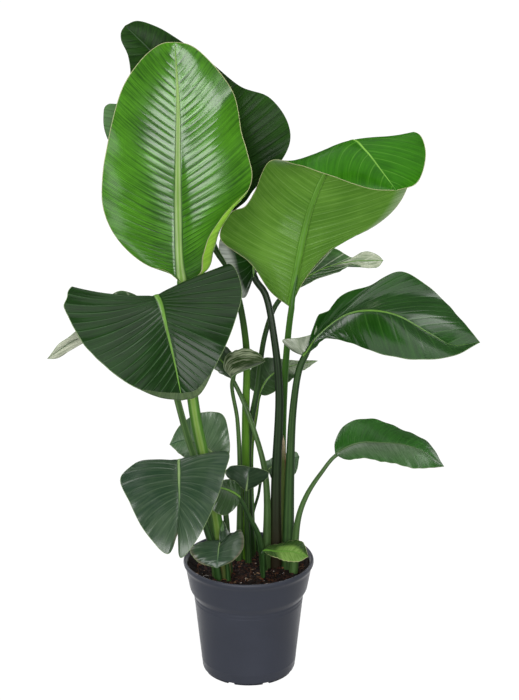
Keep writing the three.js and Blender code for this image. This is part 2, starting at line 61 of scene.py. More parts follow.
# Each softbox: its place and its width and height in metres, its glow, and the point that it faces
SOFTBOXES = {
    "softbox_front": ((0.06, -3.4, 1.50), (2.15, 0.95), 8.0, (0.0, 0.0, 0.9)),
    "softbox_front_left": ((-1.83, -2.78, 1.66), (1.5, 0.95), 7.0, (0.0, 0.0, 0.9)),
    "softbox_left": ((-2.6, 1.3, 1.6), (1.3, 1.0), 3.5, (0.1, 0.0, 0.7)),
    "softbox_right": ((2.7, -1.3, 1.7), (0.9, 1.6), 1.8, (0.0, 0.0, 0.7)),
    "softbox_high_right": ((2.05, 0.1, 3.1), (2.4, 1.1), 3.6, (0.0, 0.0, 0.7)),
    "softbox_top": ((-0.2, 0.1, 3.0), (3.0, 2.4), 0.9, (0.0, 0.0, 0.6)),
    "softbox_back": ((-1.5, 1.9, 2.5), (1.4, 1.2), 2.0, (0.0, 0.0, 0.8)),
    "softbox_low_right": ((2.2, 1.8, 0.8), (1.2, 1.4), 2.4, (0.0, 0.0, 0.2)),
    "softbox_low_left": ((-2.2, 1.8, 0.8), (1.2, 1.4), 2.4, (0.0, 0.0, 0.2)),
    "floor_bounce": ((0.0, -0.4, 0.004), (5.0, 5.0), 0.3, (0.0, -0.4, 9.0)),
}


def linear(code):
    """An sRGB hex colour as linear light, with alpha 1"""
    shares = [int(code[i:i + 2], 16) / 255 for i in (1, 3, 5)]
    return tuple(c / 12.92 if c <= 0.04045 else ((c + 0.055) / 1.055) ** 2.4 for c in shares) + (1.0,)


def add(tree, kind, settings={}, inputs={}):
    """One node with its settings and its inputs, each a value or the output of another node"""
    node = tree.nodes.new(kind)
    for key, value in settings.items():
        setattr(node, key, value)
    for key, value in inputs.items():
        if isinstance(value, bpy.types.NodeSocket):
            tree.links.new(value, node.inputs[key])
        else:
            node.inputs[key].default_value = value
    return node


def new_material(name):
    """An empty material and its node tree"""
    material = bpy.data.materials.new(name)
    material.use_nodes = True
    material.node_tree.nodes.clear()
    return material, material.node_tree


def in_scene(name, data):
    """A new object in the scene"""
    thing = bpy.data.objects.new(name, data)
    bpy.context.scene.collection.objects.link(thing)
    return thing


def mesh_object(name, points, faces, materials):
    """A mesh of points in mm, in the scene"""
    mesh = bpy.data.meshes.new(name)
    mesh.from_pydata((np.asarray(points, float) * MM).tolist(), [], faces)
    for material in materials:
        mesh.materials.append(material)
    mesh.shade_smooth()
    return in_scene(name, mesh)


def ring_points(radius, height, sides):
    """A level ring of points, anticlockwise from +X"""
    turns = [2 * math.pi * k / sides for k in range(sides)]
    return [(math.cos(turn) * radius, math.sin(turn) * radius, height) for turn in turns]


def ring_faces(spans, sides, first=0):
    """The quads between rings of points that follow each other, where the first ring starts at one point"""
    faces = []
    for i in range(spans):
        for k in range(sides):
            a, b = first + i * sides + k, first + i * sides + (k + 1) % sides
            faces.append((a, b, b + sides, a + sides))
    return faces


def end_faces(spans, sides):
    """The two discs that close the first and the last ring"""
    last = spans * sides
    return [tuple(reversed(range(sides))), tuple(range(last, last + sides))]


camera = in_scene("camera", bpy.data.cameras.new("camera"))
camera.data.sensor_fit = "VERTICAL"
camera.data.sensor_height = SENSOR_HEIGHT
camera.data.sensor_width = SENSOR_HEIGHT
camera.data.lens = SENSOR_HEIGHT * FOCAL_PIXELS / PICTURE_HEIGHT
camera.location = CAMERA_PLACE
camera.rotation_euler = (math.pi / 2 - CAMERA_PITCH, 0, 0)
bpy.context.scene.camera = camera
bpy.context.scene.view_settings.view_transform = "Standard"

for name, (place, size, glow, aim) in SOFTBOXES.items():
    light = bpy.data.lights.new(name, "AREA")
    light.shape = "RECTANGLE"
    light.size, light.size_y = size
    light.energy = glow * WATTS_PER_GLOW * size[0] * size[1]
    lamp = in_scene(name, light)
    lamp.location = place
    lamp.rotation_euler = (Vector(aim) - Vector(place)).to_track_quat("-Z", "Y").to_euler()

# White paint. The cove is white to the lens all round, but only the softboxes and the room's faint glow
# light the plant.
cove_white, tree = new_material("cove_white_paint")
shader = add(tree, "ShaderNodeEmission", {}, {"Color": linear("#ffffff"), "Strength": COVE_GLOW})
add(tree, "ShaderNodeOutputMaterial", {}, {0: shader.outputs[0]})
points = []
for width, height in COVE_RINGS:
    points += ring_points(COVE_RADIUS / MM * width, COVE_RADIUS / MM * height, COVE_SIDES)
spans = len(COVE_RINGS) - 1
faces = ring_faces(spans, COVE_SIDES) + end_faces(spans, COVE_SIDES)
cove = mesh_object("cove", points, faces, [cove_white])
cove.visible_diffuse = False
cove.visible_glossy = False
cove.visible_shadow = False

world = bpy.data.worlds.new("studio")
world.use_nodes = True
world.node_tree.nodes["Background"].inputs["Color"].default_value = linear("#ffffff")
world.node_tree.nodes["Background"].inputs["Strength"].default_value = ROOM_GLOW
bpy.context.scene.world = world

# Pot
# A 24 cm nursery pot, injection-moulded in polypropylene of one dark grey. The lip is rolled over, a wide
# band runs under it down to a step, and the wall tapers to a standing ring with slots for the water.
POT_HEIGHT = 219
LIP_RADIUS = 119.5
BAND_TOP_RADIUS = 115.5
BAND_FOOT_RADIUS = 108
BAND_FOOT_Z = 163
STEP_RADIUS = 101
STEP_Z = 151
BASE_RADIUS = 86
WALL_FOOT_Z = 6
STANDING_RADIUS = 83
WALL = 2.2
DISC_RADIUS = 30
CHANNEL_INNER = 35
CHANNEL_OUTER = 66
RING_INNER = 71
CHANNEL_LIFT = 4.5
SLOT_COUNT = 8
SLOT_WIDTH = 13
SLOT_LIFT = 4
SLOT_INNER = 68
SLOT_OUTER = 92
POT_TURNS = 192
POT_SHARP_ANGLE = math.radians(50)
# Faint rings left by the mould under the step: height and how far they stand out
MOULD_RINGS = [(146.5, 0.4), (139, 0.3), (22, 0.3)]
MOULD_RING_HALF = 1.3


def rounded(outline):
    """A turned outline of (radius, height, fillet) as (radius, height), each corner an arc of five points"""
    points = []
    for i, (r, z, fillet) in enumerate(outline):
        here = np.array([r, z], float)
        if fillet == 0:
            points.append(here)
            continue
        back = np.array(outline[i - 1][:2]) - here
        ahead = np.array(outline[(i + 1) % len(outline)][:2]) - here
        cut = min(fillet, 0.45 * np.linalg.norm(back), 0.45 * np.linalg.norm(ahead))
        start = here + back / np.linalg.norm(back) * cut
        end = here + ahead / np.linalg.norm(ahead) * cut
        for t in (0, 0.25, 0.5, 0.75, 1):
            points.append((1 - t) ** 2 * start + 2 * t * (1 - t) * here + t ** 2 * end)
    return points


def wall_rings():
    """The outer wall between the base and the step, with the mould's faint rings on it"""
    points = []
    for height, stand in sorted(MOULD_RINGS):
        share = (height - WALL_FOOT_Z) / (STEP_Z - WALL_FOOT_Z)
        radius = BASE_RADIUS + (STEP_RADIUS - BASE_RADIUS) * share
        points += [(radius - 0.1, height - MOULD_RING_HALF, 0), (radius + stand, height, 0.6),
                   (radius + 0.1, height + MOULD_RING_HALF, 0)]
    return points


# The turned outline, from the middle of the underside out, up the wall, over the lip and down the inside
pot_outline = rounded([
    (DISC_RADIUS, 0, 1.5), (CHANNEL_INNER, CHANNEL_LIFT, 1.5), (CHANNEL_OUTER, CHANNEL_LIFT, 1.5),
    (RING_INNER, 0, 1), (STANDING_RADIUS, 0, 1.2), (BASE_RADIUS, WALL_FOOT_Z, 2.5), *wall_rings(),
    (STEP_RADIUS, STEP_Z, 1.5), (BAND_FOOT_RADIUS, BAND_FOOT_Z, 3.5),
    (BAND_TOP_RADIUS, POT_HEIGHT - 15, 5), (LIP_RADIUS, POT_HEIGHT - 8, 3.5), (LIP_RADIUS, POT_HEIGHT - 3, 2),
    (LIP_RADIUS - 2, POT_HEIGHT, 1.6), (LIP_RADIUS - 4.5, POT_HEIGHT - 1, 1.5),
    (LIP_RADIUS - 5.8, POT_HEIGHT - 5, 1.5), (BAND_TOP_RADIUS - WALL, POT_HEIGHT - 13, 2),
    (BAND_FOOT_RADIUS - WALL, BAND_FOOT_Z + 0.6, 3), (STEP_RADIUS - WALL, STEP_Z + 0.6, 3),
    (BASE_RADIUS - WALL, WALL_FOOT_Z + 1, 2), (STANDING_RADIUS - 2, WALL, 1), (RING_INNER + 1, WALL, 1),
    (CHANNEL_OUTER + 1, CHANNEL_LIFT + WALL, 1), (CHANNEL_INNER - 1, CHANNEL_LIFT + WALL, 1),
    (DISC_RADIUS - 1, WALL, 1),
])


def plain_mesh(thing):
    """The mesh that an object's modifiers make of it"""
    return bpy.data.meshes.new_from_object(thing.evaluated_get(bpy.context.evaluated_depsgraph_get()))


def pot_mesh(materials):
    """The outline turned about Z, with the drainage slots cut through the standing ring"""
    points = []
    for r, z in pot_outline:
        points += ring_points(r, z, POT_TURNS)
    spans = len(pot_outline) - 1
    faces = ring_faces(spans, POT_TURNS) + end_faces(spans, POT_TURNS)
    turned = mesh_object("pot_turned", points, faces, materials)
    corners = [(x, y, z) for x in (SLOT_INNER, SLOT_OUTER) for y in (-SLOT_WIDTH / 2, SLOT_WIDTH / 2)
               for z in (-SLOT_LIFT, SLOT_LIFT)]
    sides = [(0, 1, 3, 2), (4, 6, 7, 5), (0, 4, 5, 1), (2, 3, 7, 6), (0, 2, 6, 4), (1, 5, 7, 3)]
    cutters = []
    cuts = []
    for i in range(SLOT_COUNT):
        turn = 2 * math.pi * (i + 0.5) / SLOT_COUNT
        c, s = math.cos(turn), math.sin(turn)
        cuts += [tuple(8 * i + k for k in side) for side in sides]
        cutters += [(c * x - s * y, s * x + c * y, z) for x, y, z in corners]
    cutter = mesh_object("slot_cutter", cutters, cuts, [])
    cut = turned.modifiers.new("slots", "BOOLEAN")
    cut.operation = "DIFFERENCE"
    cut.solver = "EXACT"
    cut.object = cutter
    slotted = plain_mesh(turned)
    for spent in (turned, cutter):
        bpy.data.objects.remove(spent)
    slotted.name = "nursery_pot"
    slotted.set_sharp_from_angle(angle=POT_SHARP_ANGLE)
    return in_scene("nursery_pot", slotted)


# Satin polypropylene: a fine moulded grain and a soft shine, a little paler where hands and shelves rub it
polypropylene, tree = new_material("polypropylene_moulded_satin")
place = add(tree, "ShaderNodeTexCoord").outputs["Object"]
cloud = add(tree, "ShaderNodeTexNoise", {}, {"Vector": place, "Scale": 14.0, "Detail": 4.0, "Roughness": 0.6})
grain = add(tree, "ShaderNodeTexNoise", {}, {"Vector": place, "Scale": 900.0, "Detail": 2.0})
tint = add(tree, "ShaderNodeMix", {"data_type": "RGBA"}, {
    "Factor": cloud.outputs[0], 6: linear("#2b2f3a"), 7: linear("#373b48")})
rub = add(tree, "ShaderNodeMapRange", {}, {
    "Value": cloud.outputs[0], "From Min": 0.3, "From Max": 0.7, "To Min": 0.46, "To Max": 0.58})
bump = add(tree, "ShaderNodeBump", {}, {"Strength": 0.25, "Distance": 0.0004, "Height": grain.outputs[0]})
shader = add(tree, "ShaderNodeBsdfPrincipled", {}, {
    "Base Color": tint.outputs[2], "Roughness": rub.outputs[0], "IOR": 1.49, "Sheen Weight": 0.45,
    "Sheen Roughness": 0.3, "Normal": bump.outputs[0]})
add(tree, "ShaderNodeOutputMaterial", {}, {0: shader.outputs[0]})

pot = pot_mesh([polypropylene])
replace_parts(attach(pot, "root"), "pot")

# Potting soil
# Peat and coir fill the pot to just under its lip. The mix is loose and dark, with lumps and hollows on top,
# and a little of it is heaped up against the wall.
SOIL_Z = 202
SOIL_FLOOR_Z = 9
SOIL_LUMP = 2.2
SOIL_EDGE_RADIUS = 111.9
SOIL_TURNS = 160
SOIL_RINGS = 60
CRUMB_RELIEF = 3.0
CRUMBS_PER_MM = 0.085
HEAP_FROM_RADIUS = 96
HEAP_WIDTH = 16
HEAP_HEIGHT = 6.0


def soil_height(x, y):
    """The lumpy top of the soil in mm: broad lumps, crumbs, and a little heaped against the wall"""
    wide = math.sin(0.09 * x + 1.3) * math.cos(0.11 * y + 0.4)
    broad = SOIL_LUMP * (wide + 0.5 * math.sin(0.27 * x + 0.19 * y))
    crumbs = noise.fractal(Vector((x, y, 7.0)) * CRUMBS_PER_MM, 0.8, 2.1, 5) * CRUMB_RELIEF
    heap = HEAP_HEIGHT * max(0.0, (math.hypot(x, y) - HEAP_FROM_RADIUS) / HEAP_WIDTH) ** 2
    return SOIL_Z + broad + crumbs + heap


def soil_mesh(materials):
    """The top as a ring grid, and plain sides and floor that follow the pot's inside"""
    points = [(0, 0, soil_height(0, 0))]
    for i in range(1, SOIL_RINGS + 1):
        ring = ring_points(SOIL_EDGE_RADIUS * (i / SOIL_RINGS) ** 0.8, 0, SOIL_TURNS)
        points += [(x, y, soil_height(x, y)) for x, y, _ in ring]
    sides = [(BAND_FOOT_RADIUS, BAND_FOOT_Z + 1), (STEP_RADIUS, STEP_Z), (BASE_RADIUS, SOIL_FLOOR_Z)]
    for radius, z in sides:
        points += ring_points(radius - WALL - 1, z, SOIL_TURNS)
    spans = SOIL_RINGS - 1 + len(sides)
    faces = [(0, 1 + k, 1 + (k + 1) % SOIL_TURNS) for k in range(SOIL_TURNS)]
    faces += [(a, d, c, b) for a, b, c, d in ring_faces(spans, SOIL_TURNS, 1)]
    foot = 1 + spans * SOIL_TURNS
    faces.append(tuple(reversed(range(foot, foot + SOIL_TURNS))))
    return mesh_object("potting_soil", points, faces, materials)


# Damp peat: near black brown and quite rough, with fine crumbs in the bump and reddish patches
peat, tree = new_material("peat_damp_crumbled")
place = add(tree, "ShaderNodeTexCoord").outputs["Object"]
crumb = add(tree, "ShaderNodeTexNoise", {}, {
    "Vector": place, "Scale": 190.0, "Detail": 6.0, "Roughness": 0.7})
patch = add(tree, "ShaderNodeTexNoise", {}, {"Vector": place, "Scale": 45.0, "Detail": 3.0})
tone = add(tree, "ShaderNodeValToRGB", {}, {"Fac": crumb.outputs[0]})
for position, code in ((0.35, "#060403"), (0.5, "#140c08"), (0.68, "#341e12")):
    tone.color_ramp.elements.new(position).color = linear(code)
tint = add(tree, "ShaderNodeMix", {"data_type": "RGBA", "blend_type": "MULTIPLY"}, {
    "Factor": patch.outputs[0], 6: tone.outputs[0], 7: linear("#a86f52")})
bump = add(tree, "ShaderNodeBump", {}, {"Strength": 1.0, "Distance": 0.002, "Height": crumb.outputs[0]})
shader = add(tree, "ShaderNodeBsdfPrincipled", {}, {
    "Base Color": tint.outputs[2], "Roughness": 0.85, "Specular IOR Level": 0.3, "Normal": bump.outputs[0]})
add(tree, "ShaderNodeOutputMaterial", {}, {0: shader.outputs[0]})

soil = soil_mesh([peat])

# Bark and coir in the soil
# Chips of pine bark 3 to 10 mm long, crumbs of peat and curly coir fibres are mixed through the soil, and
# lie loose on its top. A few of the chips and crumbs are as pale as pumice. Sizes here are in metres.
CHIP_SIZE = (0.0035, 0.0022, 0.0012)
CRUMB_SIZE = (0.0014, 0.0013, 0.0010)
CHIP_DENSITY = 26000.0
CRUMB_DENSITY = 60000.0
FIBRE_DENSITY = 2600.0
FIBRE_RADIUS = 0.00035
LITTER_REACH = 0.101
STEEPEST_LITTER = 0.35


def named_inputs(tree, sizes):
    """The inputs of a geometry tree, each a size with its default, after the geometry itself"""
    tree.interface.new_socket("Geometry", in_out="INPUT", socket_type="NodeSocketGeometry")
    for label, value in sizes.items():
        kind = "NodeSocketInt" if isinstance(value, int) else "NodeSocketFloat"
        tree.interface.new_socket(label, in_out="INPUT", socket_type=kind).default_value = value
    tree.interface.new_socket("Geometry", in_out="OUTPUT", socket_type="NodeSocketGeometry")
    return add(tree, "NodeGroupInput").outputs


def scatter(name, material, grain, sizes, seed):
    """Strews one kind of grain over the soil's top and returns it as one plain mesh"""
    tree = bpy.data.node_groups.new(name, "GeometryNodeTree")
    given = named_inputs(tree, {"Density": 1000.0, "Smallest": 0.5, "Largest": 1.5, "Reach": 0.1, "Seed": 1})
    normal = add(tree, "GeometryNodeInputNormal")
    upness = add(tree, "ShaderNodeSeparateXYZ", {}, {0: normal.outputs[0]})
    facing = add(tree, "FunctionNodeCompare", {"data_type": "FLOAT", "operation": "GREATER_THAN"},
                 {0: upness.outputs[2], 1: STEEPEST_LITTER})
    place = add(tree, "GeometryNodeInputPosition")
    level = add(tree, "ShaderNodeVectorMath", {"operation": "MULTIPLY"}, {0: place.outputs[0], 1: (1, 1, 0)})
    spread = add(tree, "ShaderNodeVectorMath", {"operation": "LENGTH"}, {0: level.outputs[0]})
    inside = add(tree, "FunctionNodeCompare", {"data_type": "FLOAT", "operation": "LESS_THAN"},
                 {0: spread.outputs["Value"], 1: given["Reach"]})
    chosen = add(tree, "FunctionNodeBooleanMath", {"operation": "AND"}, {
        0: facing.outputs[0], 1: inside.outputs[0]})
    strewn = add(tree, "GeometryNodeDistributePointsOnFaces", {}, {
        "Mesh": given["Geometry"], "Selection": chosen.outputs[0], "Density": given["Density"],
        "Seed": given["Seed"]})
    turn = add(tree, "FunctionNodeRandomValue", {"data_type": "FLOAT_VECTOR"}, {
        0: (-sizes["tilt"], -sizes["tilt"], 0.0), 1: (sizes["tilt"], sizes["tilt"], 6.283),
        "Seed": given["Seed"]})
    size = add(tree, "FunctionNodeRandomValue", {"data_type": "FLOAT"}, {
        2: given["Smallest"], 3: given["Largest"], "Seed": given["Seed"]})
    laid = add(tree, "GeometryNodeInstanceOnPoints", {}, {
        "Points": strewn.outputs["Points"], "Instance": grain(tree), "Rotation": turn.outputs[0],
        "Scale": size.outputs[1]})
    tone = add(tree, "FunctionNodeRandomValue", {"data_type": "FLOAT"}, {2: 0.0, 3: 1.0, "Seed": seed + 5})
    marked = add(tree, "GeometryNodeStoreNamedAttribute", {"data_type": "FLOAT", "domain": "INSTANCE"}, {
        "Geometry": laid.outputs[0], "Name": "tone", "Value": tone.outputs[1]})
    real = add(tree, "GeometryNodeRealizeInstances", {}, {0: marked.outputs[0]})
    coated = add(tree, "GeometryNodeSetMaterial", {}, {"Geometry": real.outputs[0], "Material": material})
    add(tree, "NodeGroupOutput", {}, {0: coated.outputs[0]})
    modifier = soil.modifiers.new(name, "NODES")
    modifier.node_group = tree
    values = {"Density": sizes["density"], "Smallest": sizes["low"], "Largest": sizes["high"],
              "Reach": LITTER_REACH, "Seed": seed}
    for socket in tree.interface.items_tree:
        if socket.in_out == "INPUT" and socket.name in values:
            modifier[socket.identifier] = values[socket.name]
    mesh = plain_mesh(soil)
    soil.modifiers.remove(modifier)
    mesh.name = name
    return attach(in_scene(name, mesh), "root")


def lump(size, fineness):
    """A function that makes one rough grain of a size in a tree: a low ball with its corners pushed about"""
    def grain(tree):
        ball = add(tree, "GeometryNodeMeshIcoSphere", {}, {"Radius": 1.0, "Subdivisions": fineness})
        place = add(tree, "GeometryNodeInputPosition")
        rough = add(tree, "ShaderNodeTexNoise", {}, {
            "Vector": place.outputs[0], "Scale": 1.3, "Detail": 1.0})
        centred = add(tree, "ShaderNodeVectorMath", {"operation": "SUBTRACT"}, {
            0: rough.outputs[1], 1: (0.5, 0.5, 0.5)})
        pushed = add(tree, "GeometryNodeSetPosition", {}, {
            "Geometry": ball.outputs[0], "Offset": centred.outputs[0]})
        sized = add(tree, "GeometryNodeTransform", {}, {"Geometry": pushed.outputs[0], "Scale": size})
        return sized.outputs[0]
    return grain


def fibre(tree):
    """One curly coir fibre, 14 mm long, as a thin tube"""
    curl = add(tree, "GeometryNodeCurveQuadraticBezier", {}, {
        "Resolution": 8, "Start": (-0.007, 0.0, 0.001), "Middle": (0.0, 0.006, 0.006),
        "End": (0.007, -0.001, 0.0)})
    section = add(tree, "GeometryNodeCurvePrimitiveCircle", {}, {"Resolution": 5, "Radius": FIBRE_RADIUS})
    tube = add(tree, "GeometryNodeCurveToMesh", {}, {
        "Curve": curl.outputs[0], "Profile Curve": section.outputs[0], "Fill Caps": True})
    return tube.outputs[0]


def litter_material(name, stops, roughness):
    """Broken dry plant matter, each grain of its own tone between the given ones"""
    material, tree = new_material(name)
    tone = add(tree, "ShaderNodeAttribute", {"attribute_name": "tone"})
    place = add(tree, "ShaderNodeTexCoord").outputs["Object"]
    mottle = add(tree, "ShaderNodeTexNoise", {}, {"Vector": place, "Scale": 600.0, "Detail": 2.0})
    ramp = add(tree, "ShaderNodeValToRGB", {}, {"Fac": tone.outputs["Fac"]})
    for position, code in stops:
        ramp.color_ramp.elements.new(position).color = linear(code)
    tint = add(tree, "ShaderNodeMix", {"data_type": "RGBA", "blend_type": "MULTIPLY"}, {
        "Factor": mottle.outputs[0], 6: ramp.outputs[0], 7: linear("#8a7464")})
    shader = add(tree, "ShaderNodeBsdfPrincipled", {}, {
        "Base Color": tint.outputs[2], "Roughness": roughness, "Specular IOR Level": 0.35})
    add(tree, "ShaderNodeOutputMaterial", {}, {0: shader.outputs[0]})
    return material


bark = litter_material("pine_bark_broken", [
    (0.05, "#100905"), (0.5, "#25140b"), (0.85, "#4c2818"), (0.96, "#7a4c2e"), (0.99, "#a89070")], 0.8)
coir = litter_material("coir_fibre_dry", [(0.1, "#4a2f1c"), (0.9, "#9a7348")], 0.75)
scatter("bark_chips", bark, lump(CHIP_SIZE, 2),
        dict(density=CHIP_DENSITY, low=0.5, high=1.5, tilt=0.7), 11)
scatter("peat_crumbs", bark, lump(CRUMB_SIZE, 1),
        dict(density=CRUMB_DENSITY, low=0.4, high=1.3, tilt=3.1), 23)
scatter("coir_fibres", coir, fibre, dict(density=FIBRE_DENSITY, low=0.6, high=1.4, tilt=0.3), 31)
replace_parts(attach(soil, "root"), "soil")

# How a leaf grows
# Each leaf is one thing: a stalk, solid and channelled, that runs on under the blade as a keeled midrib, and
# a thin leathery blade pleated along its side veins. Its points are in mm: where it comes out of the ground,
# the stalk's, the rib's and the two margins', with a smooth line through each row of them, as in the solids.
STALK_FOOT_Z = 165
STALK_STEPS = 64
STALK_SIDES = 24
LINE_STEPS = 240
CHANNEL_DEPTH = 0.3
CHANNEL_HALF_ANGLE = 0.6
# The stalk's rod sinks below its line from this share on, so that its channel runs on into the midrib. It
# then goes on under the rib by these shares of it. Its radius there is a share of the neck's girth, and
# shrinks along the rib.
SINKS_FROM = 0.75
RUNS_ON = (0.02, 0.05, 0.09, 0.14, 0.2)
ROD_SHARE = 0.46
ROD_THINS = 1.6
THINNEST_ROD = 0.6
# The midrib's girth against the stalk's neck, and by its radius how high it stands and how deep it hangs
RIB_GIRTH = 0.75
RIB_TIP_DIAMETER = 0.9
RIDGE_HEIGHT = 0.28
KEEL_DEPTH = 0.85
BLADE_THICKNESS = 0.7
# A vein leaves the rib at a row's share to the first power. It meets the left margin at the share to the
# second power, and the right margin at the share to the third.
VEIN_SWEEP = (1.5, 1.0, 1.0)
VEIN_BEND = 0.035
VEIN_UNEVENNESS = 0.22
# The left half's veins are numbered from here, so that the two halves have streaks of their own
LEFT_VEINS_FROM = 100
# The panel between two veins stands up by a share of their distance, more or less full and leaning a little.
# The pleats flatten out towards the margin between two shares of the way, and over the blade's two ends.
PLEAT_DEPTH = 0.065
WIDEST_PANEL = 16
PANEL_FULLNESS = (0.6, 1.2)
PANEL_LEAN = 0.4
PLEATS_FLATTEN = (0.6, 1.3)
PLEAT_ENDS = 0.14
# The margin's pale line, and its ripple. The blade's wave and the ripple run through so many radians between
# the stalk and the tip, on the left and on the right.
MARGIN_WIDTH = 0.9
MARGIN_RIPPLE = 0.9
WAVE_RADIANS = (14, 20)
RIPPLE_RADIANS = (52, 70)
# A curl takes up the blade from this share of the way out, and dies away softly at both its ends
CURL_FROM = 0.72
# Beside a thick midrib the blade rises steeply for this share of its width, and less so near the tip
SHOULDER_REACH = 0.2
SHOULDER_ENDS = (0.6, 0.95)
LIP_STEPS = 60
LIP_COLUMNS = 14
SHEATH_STEPS = 20
SHEATH_COLUMNS = 12
SHEATH_THICKNESS = 0.7
SHEATH_GAP = 0.4
SHEATH_LIFT = 1.6
SHEATH_FOOT = 0.02
SHEATH_RAGGED = 0.12
# Stalks, sheaths and lips are streaked along their length as so many veins would be
STREAKS_ALONG = 8
# Where the rows of a blade lie between one vein and the next, closer at the veins so that they stay crisp
PANEL_ROWS = (0, 0.06, 0.14, 0.32, 0.44, 0.5, 0.56, 0.68, 0.86, 0.94)
# Columns over the midrib, in shares of its radius, and over the rest of each half blade. In the narrow ends
# of a blade the midrib and the margin keep to these shares of its width, which is never less than 0.05 mm.
RIB_COLUMNS = (0, 0.4, 0.75, 1.0, 1.35)
BLADE_COLUMNS = (0.04, 0.1, 0.17, 0.25, 0.33, 0.42, 0.51, 0.6, 0.68, 0.75, 0.81, 0.86, 0.9, 0.93, 0.96,
                 0.98, 1)
WIDEST_RIB = 0.3
WIDEST_MARGIN = 0.2
NARROWEST = 0.05
# The skins of a leaf in the order of its mesh's materials
UPPER, UNDER, MIDRIB, KEEL, MARGIN, STALK, SHEATH = range(7)


def smooth_line(points, first=0.0, last=1.0):
    """A centripetal Catmull-Rom line: gives the place at each share of its length"""
    p = np.array(points, float)
    q = np.vstack([2 * p[0] - p[1], p, 2 * p[-1] - p[-2]])
    t = np.linspace(first, last, LINE_STEPS + 1) * (len(p) - 1)
    i = np.minimum(t.astype(int), len(p) - 2)
    w = (t - i)[:, None]
    a, b, c, d = (q[i + k] for k in range(4))
    ab, bc, cd = (np.linalg.norm(v - u, axis=1)[:, None] ** 0.5 for u, v in ((a, b), (b, c), (c, d)))
    leave = ((b - a) / ab - (c - a) / (ab + bc) + (c - b) / bc) * bc
    reach = ((c - b) / bc - (d - b) / (bc + cd) + (d - c) / cd) * bc
    square = 3 * (c - b) - 2 * leave - reach
    cube = 2 * (b - c) + leave + reach
    line = b + leave * w + square * w ** 2 + cube * w ** 3
    walked = np.concatenate([[0], np.cumsum(np.linalg.norm(np.diff(line, axis=0), axis=1))])
    return lambda share: np.stack([np.interp(share, walked / walked[-1], line[:, k]) for k in range(3)], -1)


def unit(v):
    """Vectors brought to the length 1"""
    return v / np.maximum(np.linalg.norm(v, axis=-1, keepdims=True), 1e-9)


def leaf_lines(leaf):
    """The smooth lines of a leaf: stalk, rib, and left and right margin"""
    stem = [(*leaf["ground"], STALK_FOOT_Z), (*leaf["ground"], SOIL_Z), *leaf["stalk"]]
    spine = stem + leaf["rib"]
    neck = len(stem) / (len(spine) - 1)
    margins = [smooth_line([leaf["rib"][0], *leaf[side], leaf["rib"][-1]]) for side in ("left", "right")]
    return smooth_line(spine, 0, neck), smooth_line(spine, neck, 1), margins


def rib_radius(leaf, share):
    """The midrib's radius in mm, which tapers from the stalk's girth to the tip"""
    base = leaf.get("midrib", leaf["girth"][1] * RIB_GIRTH)
    return (RIB_TIP_DIAMETER + (base - RIB_TIP_DIAMETER) * (1 - share) ** 0.8) / 2


def vein_rows(leaf, seed):
    """Where the rows lie along the blade, 0 to 1, and how many veins, unevenly spaced, come before each"""
    draw = np.random.default_rng(seed)
    count = leaf["veins"]
    veins = np.array([i + f for i in range(count) for f in PANEL_ROWS] + [count])
    gaps = np.concatenate([[0], np.cumsum(1 + VEIN_UNEVENNESS * draw.uniform(-1, 1, count))])
    return np.interp(veins, np.arange(count + 1), gaps / gaps[-1]), veins


def columns_out(width, radius):
    """Where the columns of half a blade lie in each row, from 0 on the rib to 1 on the margin"""
    shares = np.array(RIB_COLUMNS)
    beside = np.minimum(shares * radius / width, shares * WIDEST_RIB)
    rim = 1 - np.minimum(MARGIN_WIDTH / width, WIDEST_MARGIN)
    blade = beside[:, -1:] + (rim - beside[:, -1:]) * np.array(BLADE_COLUMNS)
    return np.hstack([beside, blade, np.ones((len(width), 1))])


def pleats(leaf, pitch, numbers, out, seed):
    """How far the panels between veins stand up in mm, by the veins' pitch and each row's vein number"""
    draw = np.random.default_rng(seed)
    count = leaf["veins"] + 1
    panel = np.floor(numbers).astype(int) % count
    within = numbers - np.floor(numbers)
    full = draw.uniform(*PANEL_FULLNESS, count)[panel]
    lean = draw.uniform(-PANEL_LEAN, PANEL_LEAN, count)[panel]
    profile = full * (1 - np.abs(1 - 2 * within) ** 6) + lean * (within - 0.5)
    depth = PLEAT_DEPTH * leaf.get("pleat", 1.0) * np.minimum(pitch, WIDEST_PANEL) * profile
    flat_from, flat_to = leaf.get("smooth", PLEATS_FLATTEN)
    return depth[:, None] * np.clip((flat_to - out) / (flat_to - flat_from), 0, 1)


